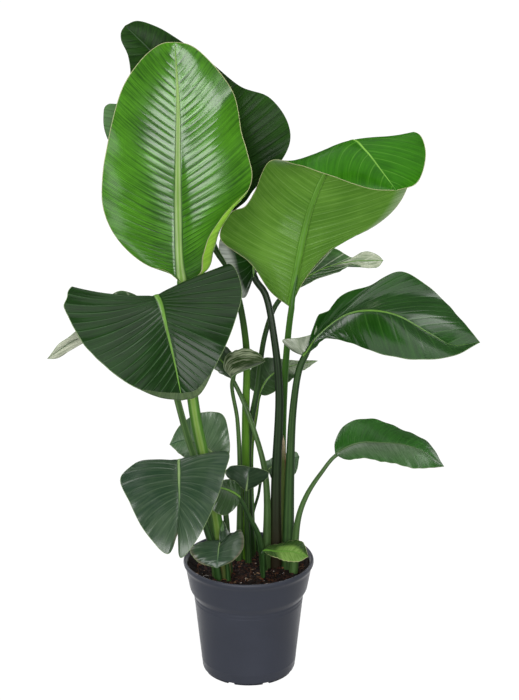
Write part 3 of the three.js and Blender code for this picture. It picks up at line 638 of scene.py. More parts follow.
def half_blade(leaf, lines, rows, veins, side, seed):
    """Half of the blade's middle surface, from the rib out, as grids of its points, pleats and marks"""
    half = 0 if side < 0 else 1
    rib, margin = lines[1], lines[2][half]
    sweep = leaf.get("sweep", VEIN_SWEEP)
    rib_share, margin_share = rows ** sweep[0], rows ** sweep[1 + half]
    centre = rib(rib_share)
    tangent = unit(rib(rib_share + 0.02) - rib(rib_share - 0.02))
    across = margin(margin_share) - centre
    width = np.maximum(np.linalg.norm(across, axis=1), NARROWEST)[:, None]
    radius = rib_radius(leaf, rib_share)[:, None]
    out = columns_out(width, radius)
    bend = leaf.get("bend", VEIN_BEND) * (1 - out) * 4 * (rows * (1 - rows))[:, None]
    points = centre[:, None] * (1 - out)[:, :, None] + margin(margin_share[:, None] - bend) * out[:, :, None]
    up = side * unit(np.cross(across, tangent))[:, None]
    arch = 4 * out * (1 - out) * leaf["bow"][half] * width
    if side > 0:
        rise = np.where(out < SHOULDER_REACH, out - out ** 2 / (2 * SHOULDER_REACH),
                        SHOULDER_REACH / 2 * (1 - out) / (1 - SHOULDER_REACH))
        low, high = SHOULDER_ENDS
        dying = np.clip((high - rows) / (high - low), 0, 1)[:, None]
        arch = arch + leaf.get("shoulder", 0) * width * rise * dying
    swell = np.sin(math.pi * rows)[:, None]
    wave = leaf["wave"] * out ** 2 * np.sin(rows * WAVE_RADIANS[half] + leaf["phase"])[:, None]
    ripple = MARGIN_RIPPLE * out ** 4 * np.sin(rows * RIPPLE_RADIANS[half] + leaf["phase"] * 2)[:, None]
    points = points + up * (arch + (wave + ripple) * swell)[:, :, None]
    for curl in leaf.get("curls", []):
        if curl["side"] == side:
            points = curled(points, out, rows, up, curl)
    # The right half's veins lie between the left half's
    numbers = veins + 0.5 * half
    pitch = np.gradient(rows, veins) * leaf_length(lines)
    ends = np.clip(np.minimum(rows, 1 - rows) / PLEAT_ENDS, 0, 1)[:, None]
    clear = np.clip((out * width - radius) / (1.5 * radius), 0, 1)
    pleat = pleats(leaf, pitch, numbers, out, seed) * clear * ends
    vein = np.repeat(numbers[:, None], out.shape[1], 1) + (0 if half else LEFT_VEINS_FROM)
    return dict(points=points, pleat=pleat, out=out, vein=vein, dry=dry_and_painted_light_share(leaf, rows, out, side))


def curled(points, out, rows, up, curl):
    """Half a blade with some mm more of it past its margin, rolled over by some degrees, between two rows"""
    first, last = curl["rows"]
    swell = np.sin(math.pi * np.clip((rows - first) / (last - first), 0, 1)) ** 0.6
    angle = math.radians(curl["degrees"])
    start = int(np.argmax(out[len(rows) // 2] > CURL_FROM))
    base, rim = points[:, start], points[:, -1]
    flat = np.linalg.norm(rim - base, axis=1)
    ahead = (rim - base) / np.maximum(flat, 1e-6)[:, None]
    over = up[:, 0]
    over = unit(over - ahead * (over * ahead).sum(axis=1)[:, None])
    extra = np.maximum(curl["roll"] * swell, 1e-6)
    radius = np.minimum(curl["radius"], extra / angle)
    turned = points.copy()
    for column in range(start + 1, points.shape[1]):
        reach = (out[:, column] - out[:, start]) / (1 - out[:, start]) * (flat + extra)
        past = np.maximum(reach - flat, 0)
        bent = np.minimum(past / radius, angle)
        straight = past - bent * radius
        forward = np.minimum(reach, flat) + radius * np.sin(bent) + straight * np.cos(bent)
        lift = radius * (1 - np.cos(bent)) + straight * np.sin(bent)
        turned[:, column] = base + ahead * forward[:, None] + over * lift[:, None]
    rolled = (swell > 0)[:, None, None]
    return np.where(rolled, turned, points)


def dry_and_painted_light_share(leaf, rows, out, side):
    """How far the blade takes its other colour, 0 to 1, by the rows and shares out of each place: dry or thin
    tissue, painted sheen, painted shade and painted light shining through
    """
    dry = np.zeros(out.shape)
    for place in leaf.get("dry", []):
        if place.get("side", side) == side:
            along = np.interp(rows, place["rows"], (0, 1, 1, 0))[:, None]
            reach, full = place["out"]
            dry = np.maximum(dry, along * np.clip((out - reach) / (full - reach), 0, 1))
    return dry


def leaf_length(lines):
    """The rib's length in mm"""
    return np.linalg.norm(np.diff(lines[1](np.linspace(0, 1, 60)), axis=0), axis=1).sum()


def surface_normals(grid):
    """The upper side's direction at each point of a grid, steady at its two pointed ends"""
    along = np.gradient(grid, axis=0)
    across = np.gradient(grid, axis=1)
    normal = unit(np.cross(across, along))
    normal[:2] = normal[2]
    normal[-2:] = normal[-3]
    return normal


def blade_mesh(leaf, lines, seed):
    """The blade as a closed sheet: points, faces, the skin of each face, and the marks of each point"""
    rows, veins = vein_rows(leaf, seed)
    left = half_blade(leaf, lines, rows, veins, -1, seed + 1)
    right = half_blade(leaf, lines, rows, veins, 1, seed + 2)
    grids = {name: np.concatenate([left[name][:, :0:-1], right[name]], axis=1) for name in left}
    middle, pleat = grids["points"], grids["pleat"]
    normal = surface_normals(middle)
    height, width = pleat.shape
    centre = width // 2
    radius = rib_radius(leaf, rows ** leaf.get("sweep", VEIN_SWEEP)[0])[:, None]
    across = np.ones(width)
    for k, share in enumerate(RIB_COLUMNS[:-1]):
        across[[centre - k, centre + k]] = share
    ridge = RIDGE_HEIGHT * radius * (1 - across ** 2)
    keel = KEEL_DEPTH * radius * np.sqrt(1 - across ** 2)
    grids["along"] = np.repeat(rows[:, None], width, 1)
    grids["across"] = np.tile(across, (height, 1))

    def in_a_row(grid):
        """The grid's points one after the other, the two pointed ends first"""
        return np.concatenate([[grid[0, centre], grid[-1, centre]], grid[1:-1].reshape(-1, *grid.shape[2:])])

    def number(i, j):
        """The number of a grid point in that row"""
        return 0 if i == 0 else 1 if i == height - 1 else 2 + (i - 1) * width + j

    half = BLADE_THICKNESS / 2
    points = np.concatenate([
        in_a_row(middle + normal * (pleat + ridge + half)[:, :, None]),
        in_a_row(middle + normal * (pleat - keel - half)[:, :, None])])
    marks = {name: np.tile(in_a_row(grids[name]), 2) for name in ("out", "vein", "along", "across", "dry")}
    count = len(points) // 2
    faces = []
    kinds = []
    rib_reach = len(RIB_COLUMNS) - 2
    for i in range(height - 1):
        for j in range(width - 1):
            quad = [number(i, j), number(i, j + 1), number(i + 1, j + 1), number(i + 1, j)]
            quad = list(dict.fromkeys(quad))
            on_rib = centre - rib_reach <= j < centre + rib_reach
            on_rim = j in (0, width - 2)
            faces += [tuple(quad), tuple(count + k for k in reversed(quad))]
            kinds += [MIDRIB, KEEL] if on_rib else [MARGIN, MARGIN] if on_rim else [UPPER, UNDER]
        for j, flip in ((0, False), (width - 1, True)):
            a, b = number(i, j), number(i + 1, j)
            side = (a, b, b + count, a + count)
            faces.append(tuple(reversed(side)) if flip else side)
            kinds.append(MARGIN)
    return points, faces, kinds, marks


def stalk_radius(leaf, share):
    """The stalk's radius in mm, thickest at the soil"""
    foot, neck = leaf["girth"]
    return (neck + (foot - neck) * (1 - share) ** 1.6) / 2


def stalk_mesh(leaf, lines):
    """The stalk as a channelled rod that runs on a short way under the rib: points, faces and marks"""
    stalk, rib, margins = lines
    shares = np.linspace(0, 1, STALK_STEPS + 1)
    radii = list(stalk_radius(leaf, shares))
    up = unit(np.cross(margins[1](0.1) - margins[0](0.1), rib(0.02) - rib(0.0)))
    sink = np.clip((shares - SINKS_FROM) / (1 - SINKS_FROM), 0, 1) ** 2 * radii[-1]
    centres = list(stalk(shares) - up * sink[:, None])
    for share in RUNS_ON:
        radius = leaf["girth"][1] * (ROD_SHARE - ROD_THINS * share)
        centres.append(rib(share) - up * radius)
        radii.append(max(radius, THINNEST_ROD))
    centres = np.array(centres)
    tangents = unit(np.gradient(centres, axis=0))
    face = up
    faces_up = [None] * len(centres)
    for i in range(len(centres) - 1, -1, -1):
        face = unit(face - tangents[i] * np.dot(face, tangents[i]))
        faces_up[i] = face
    points = []
    around = []
    along = []
    for i, (centre, radius) in enumerate(zip(centres, radii)):
        other = np.cross(tangents[i], faces_up[i])
        share = min(i / STALK_STEPS, 1)
        deep = CHANNEL_DEPTH * math.sin(math.pi * share) ** 0.5
        for k in range(STALK_SIDES):
            angle = 2 * math.pi * k / STALK_SIDES
            away = min(angle, 2 * math.pi - angle)
            r = radius * (1 - deep * math.exp(-(away / CHANNEL_HALF_ANGLE) ** 2))
            points.append(centre + faces_up[i] * math.cos(angle) * r + other * math.sin(angle) * r)
            around.append(away / math.pi)
            along.append(share)
    spans = len(centres) - 1
    return points, ring_faces(spans, STALK_SIDES) + end_faces(spans, STALK_SIDES), around, along


def sheath_mesh(leaf, lines, sheath):
    """The dry foot of an older leaf round the stalk, pointed at its top, as a thin closed shell"""
    rise = np.linspace(0, 1, SHEATH_STEPS + 1)
    shares = SHEATH_FOOT + (sheath["top"] - SHEATH_FOOT) * rise
    centre = lines[0](shares)
    ahead = unit(np.gradient(centre, axis=0))
    toward = np.array([0.0, -1.0, 0.0])
    front = unit(toward - ahead * (ahead @ toward)[:, None])
    beside = np.cross(ahead, front)
    spread = np.linspace(-1, 1, SHEATH_COLUMNS + 1)
    ragged = 1 + SHEATH_RAGGED * np.sin(rise * 23 + sheath["turn"])
    half = math.radians(sheath["reach"]) * (1 - rise ** 3) * ragged
    angle = math.radians(sheath["turn"]) + half[:, None] * spread
    points = []
    offset = front[:, None] * np.cos(angle)[:, :, None] - beside[:, None] * np.sin(angle)[:, :, None]
    for layer in (SHEATH_THICKNESS, 0):
        radius = stalk_radius(leaf, shares) + SHEATH_GAP + SHEATH_LIFT * rise ** 3 + layer
        points.append((centre[:, None] + offset * radius[:, None, None]).reshape(-1, 3))
    width = SHEATH_COLUMNS + 1
    count = len(points[0])
    faces = []
    for i in range(SHEATH_STEPS):
        for j in range(SHEATH_COLUMNS):
            a = i * width + j
            quad = (a, a + width, a + 1 + width, a + 1)
            faces += [quad, tuple(count + k for k in reversed(quad))]
        for a, b in ((i * width, (i + 1) * width), ((i + 2) * width - 1, (i + 1) * width - 1)):
            faces.append((b, a, a + count, b + count))
    last = SHEATH_STEPS * width
    for j in range(SHEATH_COLUMNS):
        faces.append((j, j + 1, j + 1 + count, j + count))
        faces.append((last + j + 1, last + j, last + j + count, last + j + 1 + count))
    across = np.tile(np.abs(spread), SHEATH_STEPS + 1)
    along = np.repeat(rise, width)
    return np.concatenate(points), faces, np.tile(across, 2), np.tile(along, 2)


def lip_mesh(leaf, lines, lip):
    """The margins at the tip, turned up over the blade to show their under side, as a thin closed shell"""
    rib, margins = lines[1:]
    # The lip's edge follows the left margin out to the tip and the right one back
    walk = np.linspace(0, 2, LIP_STEPS + 1)
    low, high = lip["margins"]
    left = margins[0](np.clip(low + (1 - low) * walk, 0, 1))
    right = margins[1](np.clip(1 - (1 - high) * (walk - 1), 0, 1))
    edge = np.where((walk <= 1)[:, None], left, right)
    ahead = unit(np.gradient(edge, axis=0))
    inward = rib(lip["toward"]) - edge
    inward = unit(inward - ahead * (inward * ahead).sum(axis=1)[:, None])
    facing = unit(np.cross(margins[1](0.8) - margins[0](0.8), rib(0.95) - rib(0.7)))
    over = unit(facing - ahead * (ahead @ facing)[:, None])
    inward = unit(inward - over * (inward * over).sum(axis=1)[:, None])
    swell = np.sin(math.pi * walk / 2) ** 0.7
    radius = lip["radius"] * swell + 0.05
    flat = lip["width"] * swell
    turn = math.radians(lip["degrees"])
    arc = radius * turn
    points = []
    for layer in (0, BLADE_THICKNESS):
        for column in np.linspace(0, 1, LIP_COLUMNS + 1):
            reach = column * (arc + flat)
            bent = np.minimum(reach / radius, turn)
            straight = np.maximum(reach - arc, 0)
            back = -(radius - layer) * np.sin(bent) - straight * math.cos(turn)
            lift = radius - (radius - layer) * np.cos(bent) + straight * math.sin(turn)
            points.append(edge + inward * back[:, None] + over * lift[:, None])
    columns = LIP_COLUMNS + 1
    height = LIP_STEPS + 1

    def at(layer, column, step):
        return (layer * columns + column) * height + step

    faces = []
    for i in range(LIP_STEPS):
        for j in range(LIP_COLUMNS):
            faces.append((at(0, j, i), at(0, j + 1, i), at(0, j + 1, i + 1), at(0, j, i + 1)))
            faces.append((at(1, j, i), at(1, j, i + 1), at(1, j + 1, i + 1), at(1, j + 1, i)))
        for j, flip in ((0, True), (LIP_COLUMNS, False)):
            strip = (at(0, j, i), at(1, j, i), at(1, j, i + 1), at(0, j, i + 1))
            faces.append(tuple(reversed(strip)) if flip else strip)
    for i, flip in ((0, False), (LIP_STEPS, True)):
        for j in range(LIP_COLUMNS):
            strip = (at(0, j, i), at(1, j, i), at(1, j + 1, i), at(0, j + 1, i))
            faces.append(tuple(reversed(strip)) if flip else strip)
    # The lip counts as the blade's outer fifth, where the lines on the veins fade
    around = np.tile(np.repeat(np.linspace(1, 0.8, columns), height), 2)
    along = np.tile(walk / 2, 2 * columns)
    return np.concatenate(points), faces, around, along


def grow(leaf, seed):
    """One whole leaf in place of its solid"""
    lines = leaf_lines(leaf)
    points, faces, kinds, marks = blade_mesh(leaf, lines, seed)
    parts = [(stalk_mesh(leaf, lines), STALK)]
    parts += [(sheath_mesh(leaf, lines, sheath), SHEATH) for sheath in leaf.get("sheaths", [])]
    parts += [(lip_mesh(leaf, lines, lip), UNDER) for lip in leaf.get("lips", [])]
    for (part, part_faces, around, along), kind in parts:
        faces += [tuple(len(points) + k for k in face) for face in part_faces]
        kinds += [kind] * len(part_faces)
        points = np.concatenate([points, part])
        added = dict(out=around, vein=STREAKS_ALONG * np.asarray(along), along=along, across=around,
                     dry=np.zeros(len(part)))
        marks = {name: np.concatenate([marks[name], added[name]]) for name in marks}
    thing = mesh_object(leaf["name"] + "_grown", points, faces, skins_of(leaf))
    thing.data.polygons.foreach_set("material_index", kinds)
    for name, values in marks.items():
        layer = thing.data.attributes.new(name, "FLOAT", "POINT")
        layer.data.foreach_set("value", np.asarray(values, np.float32))
    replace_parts(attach(thing, "root"), leaf["name"])
    return thing


# Leaf skins
# Living leaf under a waxy cuticle. The upper side is glossy and deep green with its side veins sunk in
# lines, the under side is paler under a dull bloom, the midrib is pale and juicy, and a thin line edges the
# blade.
# Fine veins between one side vein and the next, in the bump only
FINE_VEINS = 5
# The edges of a rib's or a stalk's bands of colour wander with its streaks by this share of its half width
BAND_WANDER = 0.2
RIB_GRAIN = (14, 6, 0)
MARGIN_GRAIN = (30, 1, 0)
STALK_GRAIN = (9, 9, 0)
SHEATH_GRAIN = (5, 8, 0)


def leaf_skin(name, tissue, veins, share, gloss, vein_width=0.1, fades=(0.35, 1.0), bloom=0.0,
              dried_and_painted_light_colour="#8c9a74", grain=(5.0, 1.6, 0), mix=0.22, polish=0.2):
    """Leaf tissue between two greens, streaked along the side veins, each with its line, and places of
    another colour: dry tissue, painted sheen, painted shade and painted light shining through
    """
    material, tree = new_material(name)
    place = add(tree, "ShaderNodeTexCoord").outputs["Object"]
    vein = add(tree, "ShaderNodeAttribute", {"attribute_name": "vein"}).outputs["Fac"]
    reach = add(tree, "ShaderNodeAttribute", {"attribute_name": "out"}).outputs["Fac"]
    dry = add(tree, "ShaderNodeAttribute", {"attribute_name": "dry"}).outputs["Fac"]
    along_veins = add(tree, "ShaderNodeCombineXYZ", {}, {0: vein, 1: reach})
    stretch = add(tree, "ShaderNodeVectorMath", {"operation": "MULTIPLY"}, {
        0: along_veins.outputs[0], 1: grain})
    streak = add(tree, "ShaderNodeTexNoise", {}, {"Vector": stretch.outputs[0], "Scale": 1.0, "Detail": 3.0})
    cloud = add(tree, "ShaderNodeTexNoise", {}, {
        "Vector": place, "Scale": 11.0, "Detail": 3.0, "Roughness": 0.55})
    both = add(tree, "ShaderNodeMath", {"operation": "ADD"}, {0: streak.outputs[0], 1: cloud.outputs[0]})
    tone = add(tree, "ShaderNodeMapRange", {}, {
        "Value": both.outputs[0], "From Min": 1 - mix, "From Max": 1 + mix})
    green = add(tree, "ShaderNodeMix", {"data_type": "RGBA"}, {
        "Factor": tone.outputs[0], 6: linear(tissue[0]), 7: linear(tissue[1])})
    from_vein = add(tree, "ShaderNodeMath", {"operation": "PINGPONG"}, {0: vein, 1: 0.5})
    on_vein = add(tree, "ShaderNodeMapRange", {}, {
        "Value": from_vein.outputs[0], "From Min": 0.02, "From Max": vein_width, "To Min": share,
        "To Max": 0.0})
    inward = add(tree, "ShaderNodeMapRange", {}, {
        "Value": reach, "From Min": fades[0], "From Max": fades[1], "To Min": 1.0, "To Max": 0.1})
    lined = add(tree, "ShaderNodeMath", {"operation": "MULTIPLY"}, {
        0: on_vein.outputs[0], 1: inward.outputs[0]})
    veined = add(tree, "ShaderNodeMix", {"data_type": "RGBA"}, {
        "Factor": lined.outputs[0], 6: green.outputs[2], 7: linear(veins)})
    patchy = add(tree, "ShaderNodeMapRange", {}, {
        "Value": streak.outputs[0], "From Min": 0.3, "From Max": 0.6, "To Min": 0.5, "To Max": 1.0})
    # The other colour is dry tissue on some leaves, and painted sheen, painted shade and painted light
    # shining through on others
    dried_and_painted_light_mix = add(tree, "ShaderNodeMath", {"operation": "MULTIPLY"}, {0: dry, 1: patchy.outputs[0]})
    tint = add(tree, "ShaderNodeMix", {"data_type": "RGBA"}, {
        "Factor": dried_and_painted_light_mix.outputs[0], 6: veined.outputs[2], 7: linear(dried_and_painted_light_colour)})
    fine = add(tree, "ShaderNodeMath", {"operation": "MULTIPLY"}, {0: vein, 1: 2 * math.pi * FINE_VEINS})
    wave = add(tree, "ShaderNodeMath", {"operation": "SINE"}, {0: fine.outputs[0]})
    relief = add(tree, "ShaderNodeMath", {"operation": "MULTIPLY_ADD"}, {
        0: wave.outputs[0], 1: 0.35, 2: streak.outputs[0]})
    # The fine veins crowd together at the tip and no longer stand out there
    along = add(tree, "ShaderNodeAttribute", {"attribute_name": "along"}).outputs["Fac"]
    to_tip = add(tree, "ShaderNodeMapRange", {}, {
        "Value": along, "From Min": 0.7, "From Max": 0.95, "To Min": 0.6, "To Max": 0.0})
    bump = add(tree, "ShaderNodeBump", {}, {
        "Strength": to_tip.outputs[0], "Distance": 0.0004, "Height": relief.outputs[0]})
    dull = add(tree, "ShaderNodeMapRange", {}, {
        "Value": streak.outputs[0], "From Min": 0.3, "From Max": 0.7, "To Min": 0.42, "To Max": 0.55})
    shader = add(tree, "ShaderNodeBsdfPrincipled", {}, {
        "Base Color": tint.outputs[2], "Roughness": dull.outputs[0], "Specular IOR Level": 0.08,
        "Coat Weight": gloss, "Coat Roughness": polish, "Sheen Weight": bloom, "Sheen Roughness": 0.35,
        "Normal": bump.outputs[0]})
    add(tree, "ShaderNodeOutputMaterial", {}, {0: shader.outputs[0]})
    return material


def juicy_tissue(name, bands, start, full, end, rough, grain):
    """A midrib, stalk or margin, with bands of colour from its middle out and another colour at one end"""
    material, tree = new_material(name)
    place = add(tree, "ShaderNodeTexCoord").outputs["Object"]
    along = add(tree, "ShaderNodeAttribute", {"attribute_name": "along"}).outputs["Fac"]
    across = add(tree, "ShaderNodeAttribute", {"attribute_name": "across"}).outputs["Fac"]
    line = add(tree, "ShaderNodeCombineXYZ", {}, {0: along, 1: across})
    stretch = add(tree, "ShaderNodeVectorMath", {"operation": "MULTIPLY"}, {0: line.outputs[0], 1: grain})
    streak = add(tree, "ShaderNodeTexNoise", {}, {"Vector": stretch.outputs[0], "Scale": 1.0, "Detail": 3.0})
    cloud = add(tree, "ShaderNodeTexNoise", {}, {"Vector": place, "Scale": 18.0, "Detail": 3.0})
    shift = add(tree, "ShaderNodeMath", {"operation": "MULTIPLY_ADD"}, {
        0: streak.outputs[0], 1: BAND_WANDER, 2: across})
    banded = add(tree, "ShaderNodeValToRGB", {}, {"Fac": shift.outputs[0]})
    stops = banded.color_ramp.elements
    for stop, (position, code) in zip(stops, (bands[0], bands[-1])):
        stop.position, stop.color = position + BAND_WANDER / 2, linear(code)
    for position, code in bands[1:-1]:
        stops.new(position + BAND_WANDER / 2).color = linear(code)
    both = add(tree, "ShaderNodeMath", {"operation": "ADD"}, {0: streak.outputs[0], 1: cloud.outputs[0]})
    shade = add(tree, "ShaderNodeMapRange", {}, {
        "Value": both.outputs[0], "From Min": 0.75, "From Max": 1.25, "To Min": 0.72, "To Max": 1.0})
    streaked = add(tree, "ShaderNodeMix", {"data_type": "RGBA", "blend_type": "MULTIPLY"}, {
        "Factor": 1.0, 6: banded.outputs[0], 7: shade.outputs[0]})
    at_end = add(tree, "ShaderNodeMapRange", {}, {
        "Value": along, "From Min": start, "From Max": full, "To Min": 0.0, "To Max": 1.0})
    tint = add(tree, "ShaderNodeMix", {"data_type": "RGBA"}, {
        "Factor": at_end.outputs[0], 6: streaked.outputs[2], 7: linear(end)})
    shader = add(tree, "ShaderNodeBsdfPrincipled", {}, {
        "Base Color": tint.outputs[2], "Roughness": rough, "Specular IOR Level": 0.28})
    add(tree, "ShaderNodeOutputMaterial", {}, {0: shader.outputs[0]})
    return material


# Each cuticle or underside: its two greens, the colour of its veins and how much of it shows, and how glossy
# the wax is. Some also have a bloom, a colour for dry places, which on some leaves paints sheen, shade and
# light shining through, streaks of their own stretch or a duller polish.
CUTICLE_LOOKS = {
    # The young cuticle's dark lines on its veins are painted shade in the grooves between its pleats.
    "young": dict(tissue=("#28580a", "#50921a"), veins="#1a3e06", share=0.9, vein_width=0.12,
                  # Its bright lime for dry places paints light shining through the front leaf's rolled right
                  # margin.
                  fades=(0.3, 0.75), gloss=1.0, dried_and_painted_light_colour="#8fc23c"),
    "newest": dict(tissue=("#225c00", "#327406"), veins="#58942c", share=0.5, vein_width=0.06, gloss=0.12),
    # The fresh cuticle's pale grey for dry places paints sheen at the foot of the blade.
    "fresh": dict(tissue=("#123a06", "#1e4e0c"), veins="#4c7a34", share=0.3, vein_width=0.07, gloss=0.9,
                  dried_and_painted_light_colour="#a4ac98"),
    "mature": dict(tissue=("#223e18", "#365628"), veins="#567a4c", share=0.35, gloss=0.9, dried_and_painted_light_colour="#8c9c7c",
                   polish=0.3),
    # The dull cuticle's whitish grey for dry places paints sheen on the leaf behind the arch.
    "dull": dict(tissue=("#0c2804", "#163a0a"), veins="#6c9464", share=0.28, vein_width=0.06,
                 fades=(0.4, 1.3), gloss=0.5, dried_and_painted_light_colour="#c0c6bc"),
    "weathered": dict(tissue=("#26402a", "#42583e"), veins="#6c8464", share=0.35, vein_width=0.07, gloss=0.8,
                      dried_and_painted_light_colour="#7c6454", polish=0.28),
    # The grassy cuticle's grey for dry places paints sheen.
    "grassy": dict(tissue=("#1c4c0e", "#2e681c"), veins="#4c7a34", share=0.15, vein_width=0.07, gloss=0.6,
                   dried_and_painted_light_colour="#6c7c66", polish=0.3),
    # This cuticle's greens are lighter and greyer than the leaf's own: partly a real waxy bloom and partly
    # painted sheen.
    "hazy": dict(tissue=("#40603c", "#64805c"), veins="#7c9474", share=0.35, vein_width=0.07, gloss=0.8,
                 bloom=0.1, polish=0.28),
    "shaded": dict(tissue=("#132e08", "#264c12"), veins="#0e2208", share=0.5, gloss=0.05, dried_and_painted_light_colour="#5c8250"),
    "banded": dict(tissue=("#22401a", "#456c36"), veins="#b4c0a4", share=0.6, vein_width=0.12,
                   fades=(1.0, 2.0), gloss=0.4, dried_and_painted_light_colour="#c4c8b2", grain=(0.8, 5.0, 0)),
    "striped": dict(tissue=("#31481f", "#b0bc98"), veins="#a4b494", share=0.1, gloss=0.3, dried_and_painted_light_colour="#a8b090",
                    grain=(0.3, 14.0, 0), mix=0.12),
    # The light cuticle's dark green for dry places is painted shade.
    "light": dict(tissue=("#5e8636", "#86a856"), veins="#3c6a1c", share=0.35, gloss=0.3, dried_and_painted_light_colour="#1e3a16"),
}
UNDERSIDE_LOOKS = {
    # The light underside's bright lime for dry places paints light shining through the front leaf's rolled
    # right margin.
    "light": dict(tissue=("#4c7a22", "#669436"), veins="#3c6a1c", share=0.35, gloss=0.15, bloom=0.25,
                  dried_and_painted_light_colour="#8fc23c"),
    # The spread underside's pale grey for dry places paints sheen along the arched leaf's left margin.
    "spread": dict(tissue=("#4a7820", "#649234"), veins="#7ca650", share=0.4, vein_width=0.07,
                   fades=(0.6, 1.3), gloss=0.12, bloom=0.25, dried_and_painted_light_colour="#98a888"),
    # The turned underside's dark green for dry places is painted shade.
    "turned": dict(tissue=("#5a8430", "#86aa50"), veins="#3c6a1c", share=0.35, gloss=0.15, bloom=0.2,
                   dried_and_painted_light_colour="#2c4a1c"),
    "olive": dict(tissue=("#3f5234", "#566844"), veins="#6c7c54", share=0.4, vein_width=0.06, gloss=0.05,
                  bloom=0.15),
    "sage": dict(tissue=("#4f7048", "#6f8f60"), veins="#3f5c3a", share=0.5, gloss=0.1, bloom=0.3),
    "pale": dict(tissue=("#74876a", "#a0ac90"), veins="#5c7050", share=0.6, gloss=0.1, bloom=0.3),
    "streaked": dict(tissue=("#31481f", "#b0bc98"), veins="#5c7050", share=0.1, gloss=0.1, bloom=0.3,
                     grain=(0.3, 14.0, 0), mix=0.12),
    "banded": dict(tissue=("#2c4a24", "#54744a"), veins="#b4c0a4", share=0.6, vein_width=0.12,
                   fades=(1.0, 2.0), gloss=0.2, bloom=0.2, dried_and_painted_light_colour="#c4c8b2", grain=(0.8, 5.0, 0)),
}
# Each midrib, keel, stalk or sheath: its bands of colour from the middle out, where its end colour starts and
# is full along it, that colour, its roughness and the stretch of its streaks
TISSUE_LOOKS = {
    "young_midrib": ([(0, "#78a43c"), (0.25, "#86b050"), (0.55, "#a6c27e"), (0.76, "#78a04a"),
                      (0.9, "#2c5812")], 0.93, 1.0, "#5c902c", 0.4, RIB_GRAIN),
    "newest_midrib": ([(0, "#88c04c"), (0.6, "#7cb83c"), (0.9, "#3c7c14")],
                      0.97, 1.0, "#3c7c14", 0.45, RIB_GRAIN),
    "mature_midrib": ([(0, "#6c9c3c"), (0.5, "#76a446"), (0.75, "#548032"), (0.9, "#20401a")],
                      0.92, 1.0, "#5c8c34", 0.4, RIB_GRAIN),
    "weathered_midrib": ([(0, "#94b474"), (0.5, "#9cb87c"), (0.75, "#6c8c54"), (0.9, "#2c4c2c")],
                         0.4, 0.9, "#34543a", 0.45, RIB_GRAIN),
    "striped_midrib": ([(0, "#7c9c6c"), (0.6, "#94ac84"), (0.9, "#44603c")],
                       0.9, 1.0, "#94a080", 0.45, RIB_GRAIN),
    "shaded_midrib": ([(0, "#34561e"), (0.6, "#2c4c1a"), (0.9, "#1c3812")],
                      0.3, 0.7, "#24441a", 0.45, RIB_GRAIN),
    "grassy_midrib": ([(0, "#5c7c48"), (0.6, "#607c50"), (0.9, "#34542a")],
                      0.9, 1.0, "#34542a", 0.45, RIB_GRAIN),
    "young_keel": ([(0, "#568c1e"), (0.5, "#5e9628"), (0.72, "#88bc58"), (0.9, "#4f8226")],
                   0.9, 1.0, "#5a8c30", 0.5, RIB_GRAIN),
    "mature_keel": ([(0, "#33602a"), (0.6, "#5a8448"), (0.9, "#44683a")],
                    0.9, 1.0, "#4f7048", 0.5, RIB_GRAIN),
    "striped_keel": ([(0, "#6c8c5c"), (0.9, "#8ca478")], 0.9, 1.0, "#94a080", 0.5, RIB_GRAIN),
    "bright_stalk": ([(0, "#7ca23c"), (0.12, "#86a854"), (0.2, "#54842c"), (0.45, "#447a22"),
                      (0.7, "#4a7a28"), (0.9, "#33601a")], 0.2, 0.0, "#3c5424", 0.42, STALK_GRAIN),
    "dark_stalk": ([(0, "#2e4c22"), (0.14, "#426230"), (0.22, "#2c4a22"), (0.5, "#24421a"), (0.7, "#406234"),
                    (0.9, "#28481c")], 0.15, 0.0, "#2c3c1c", 0.42, STALK_GRAIN),
    # The deep stalk's near black greens are painted shade, for the stalk in the shade of the arched leaf.
    "deep_stalk": ([(0, "#20321a"), (0.14, "#2c4424"), (0.22, "#1c3018"), (0.5, "#182c12"), (0.7, "#2c4626"),
                    (0.9, "#1a3014")], 0.4, 0.1, "#2c2618", 0.42, STALK_GRAIN),
    "dusty_stalk": ([(0, "#4c6c38"), (0.3, "#567642"), (0.6, "#44642f"), (0.8, "#5c7c46"), (0.9, "#3a5a28")],
                    0.15, 0.0, "#2c3c1c", 0.42, STALK_GRAIN),
    "yellowed_stalk": ([(0, "#5c8c20"), (0.3, "#548424"), (0.6, "#3f7018"), (0.9, "#335c18")],
                       0.6, 0.8, "#2c4e1a", 0.42, STALK_GRAIN),
    "leaf_sheath_dry": ([(0, "#4c6428"), (0.45, "#5c6430"), (0.7, "#6c4028"), (0.9, "#a08858")],
                        0.82, 0.96, "#b4a484", 0.6, SHEATH_GRAIN),
}
# Margins are of one colour. An end colour that would be full only before their start never shows.
MARGIN_COLOURS = {"young": "#b4bc84", "mature": "#809868", "shaded": "#3c5830"}
for age, colour in MARGIN_COLOURS.items():
    TISSUE_LOOKS[age + "_leaf_margin"] = ([(0, colour), (0.9, colour)], 0.0, -0.1, colour, 0.5, MARGIN_GRAIN)
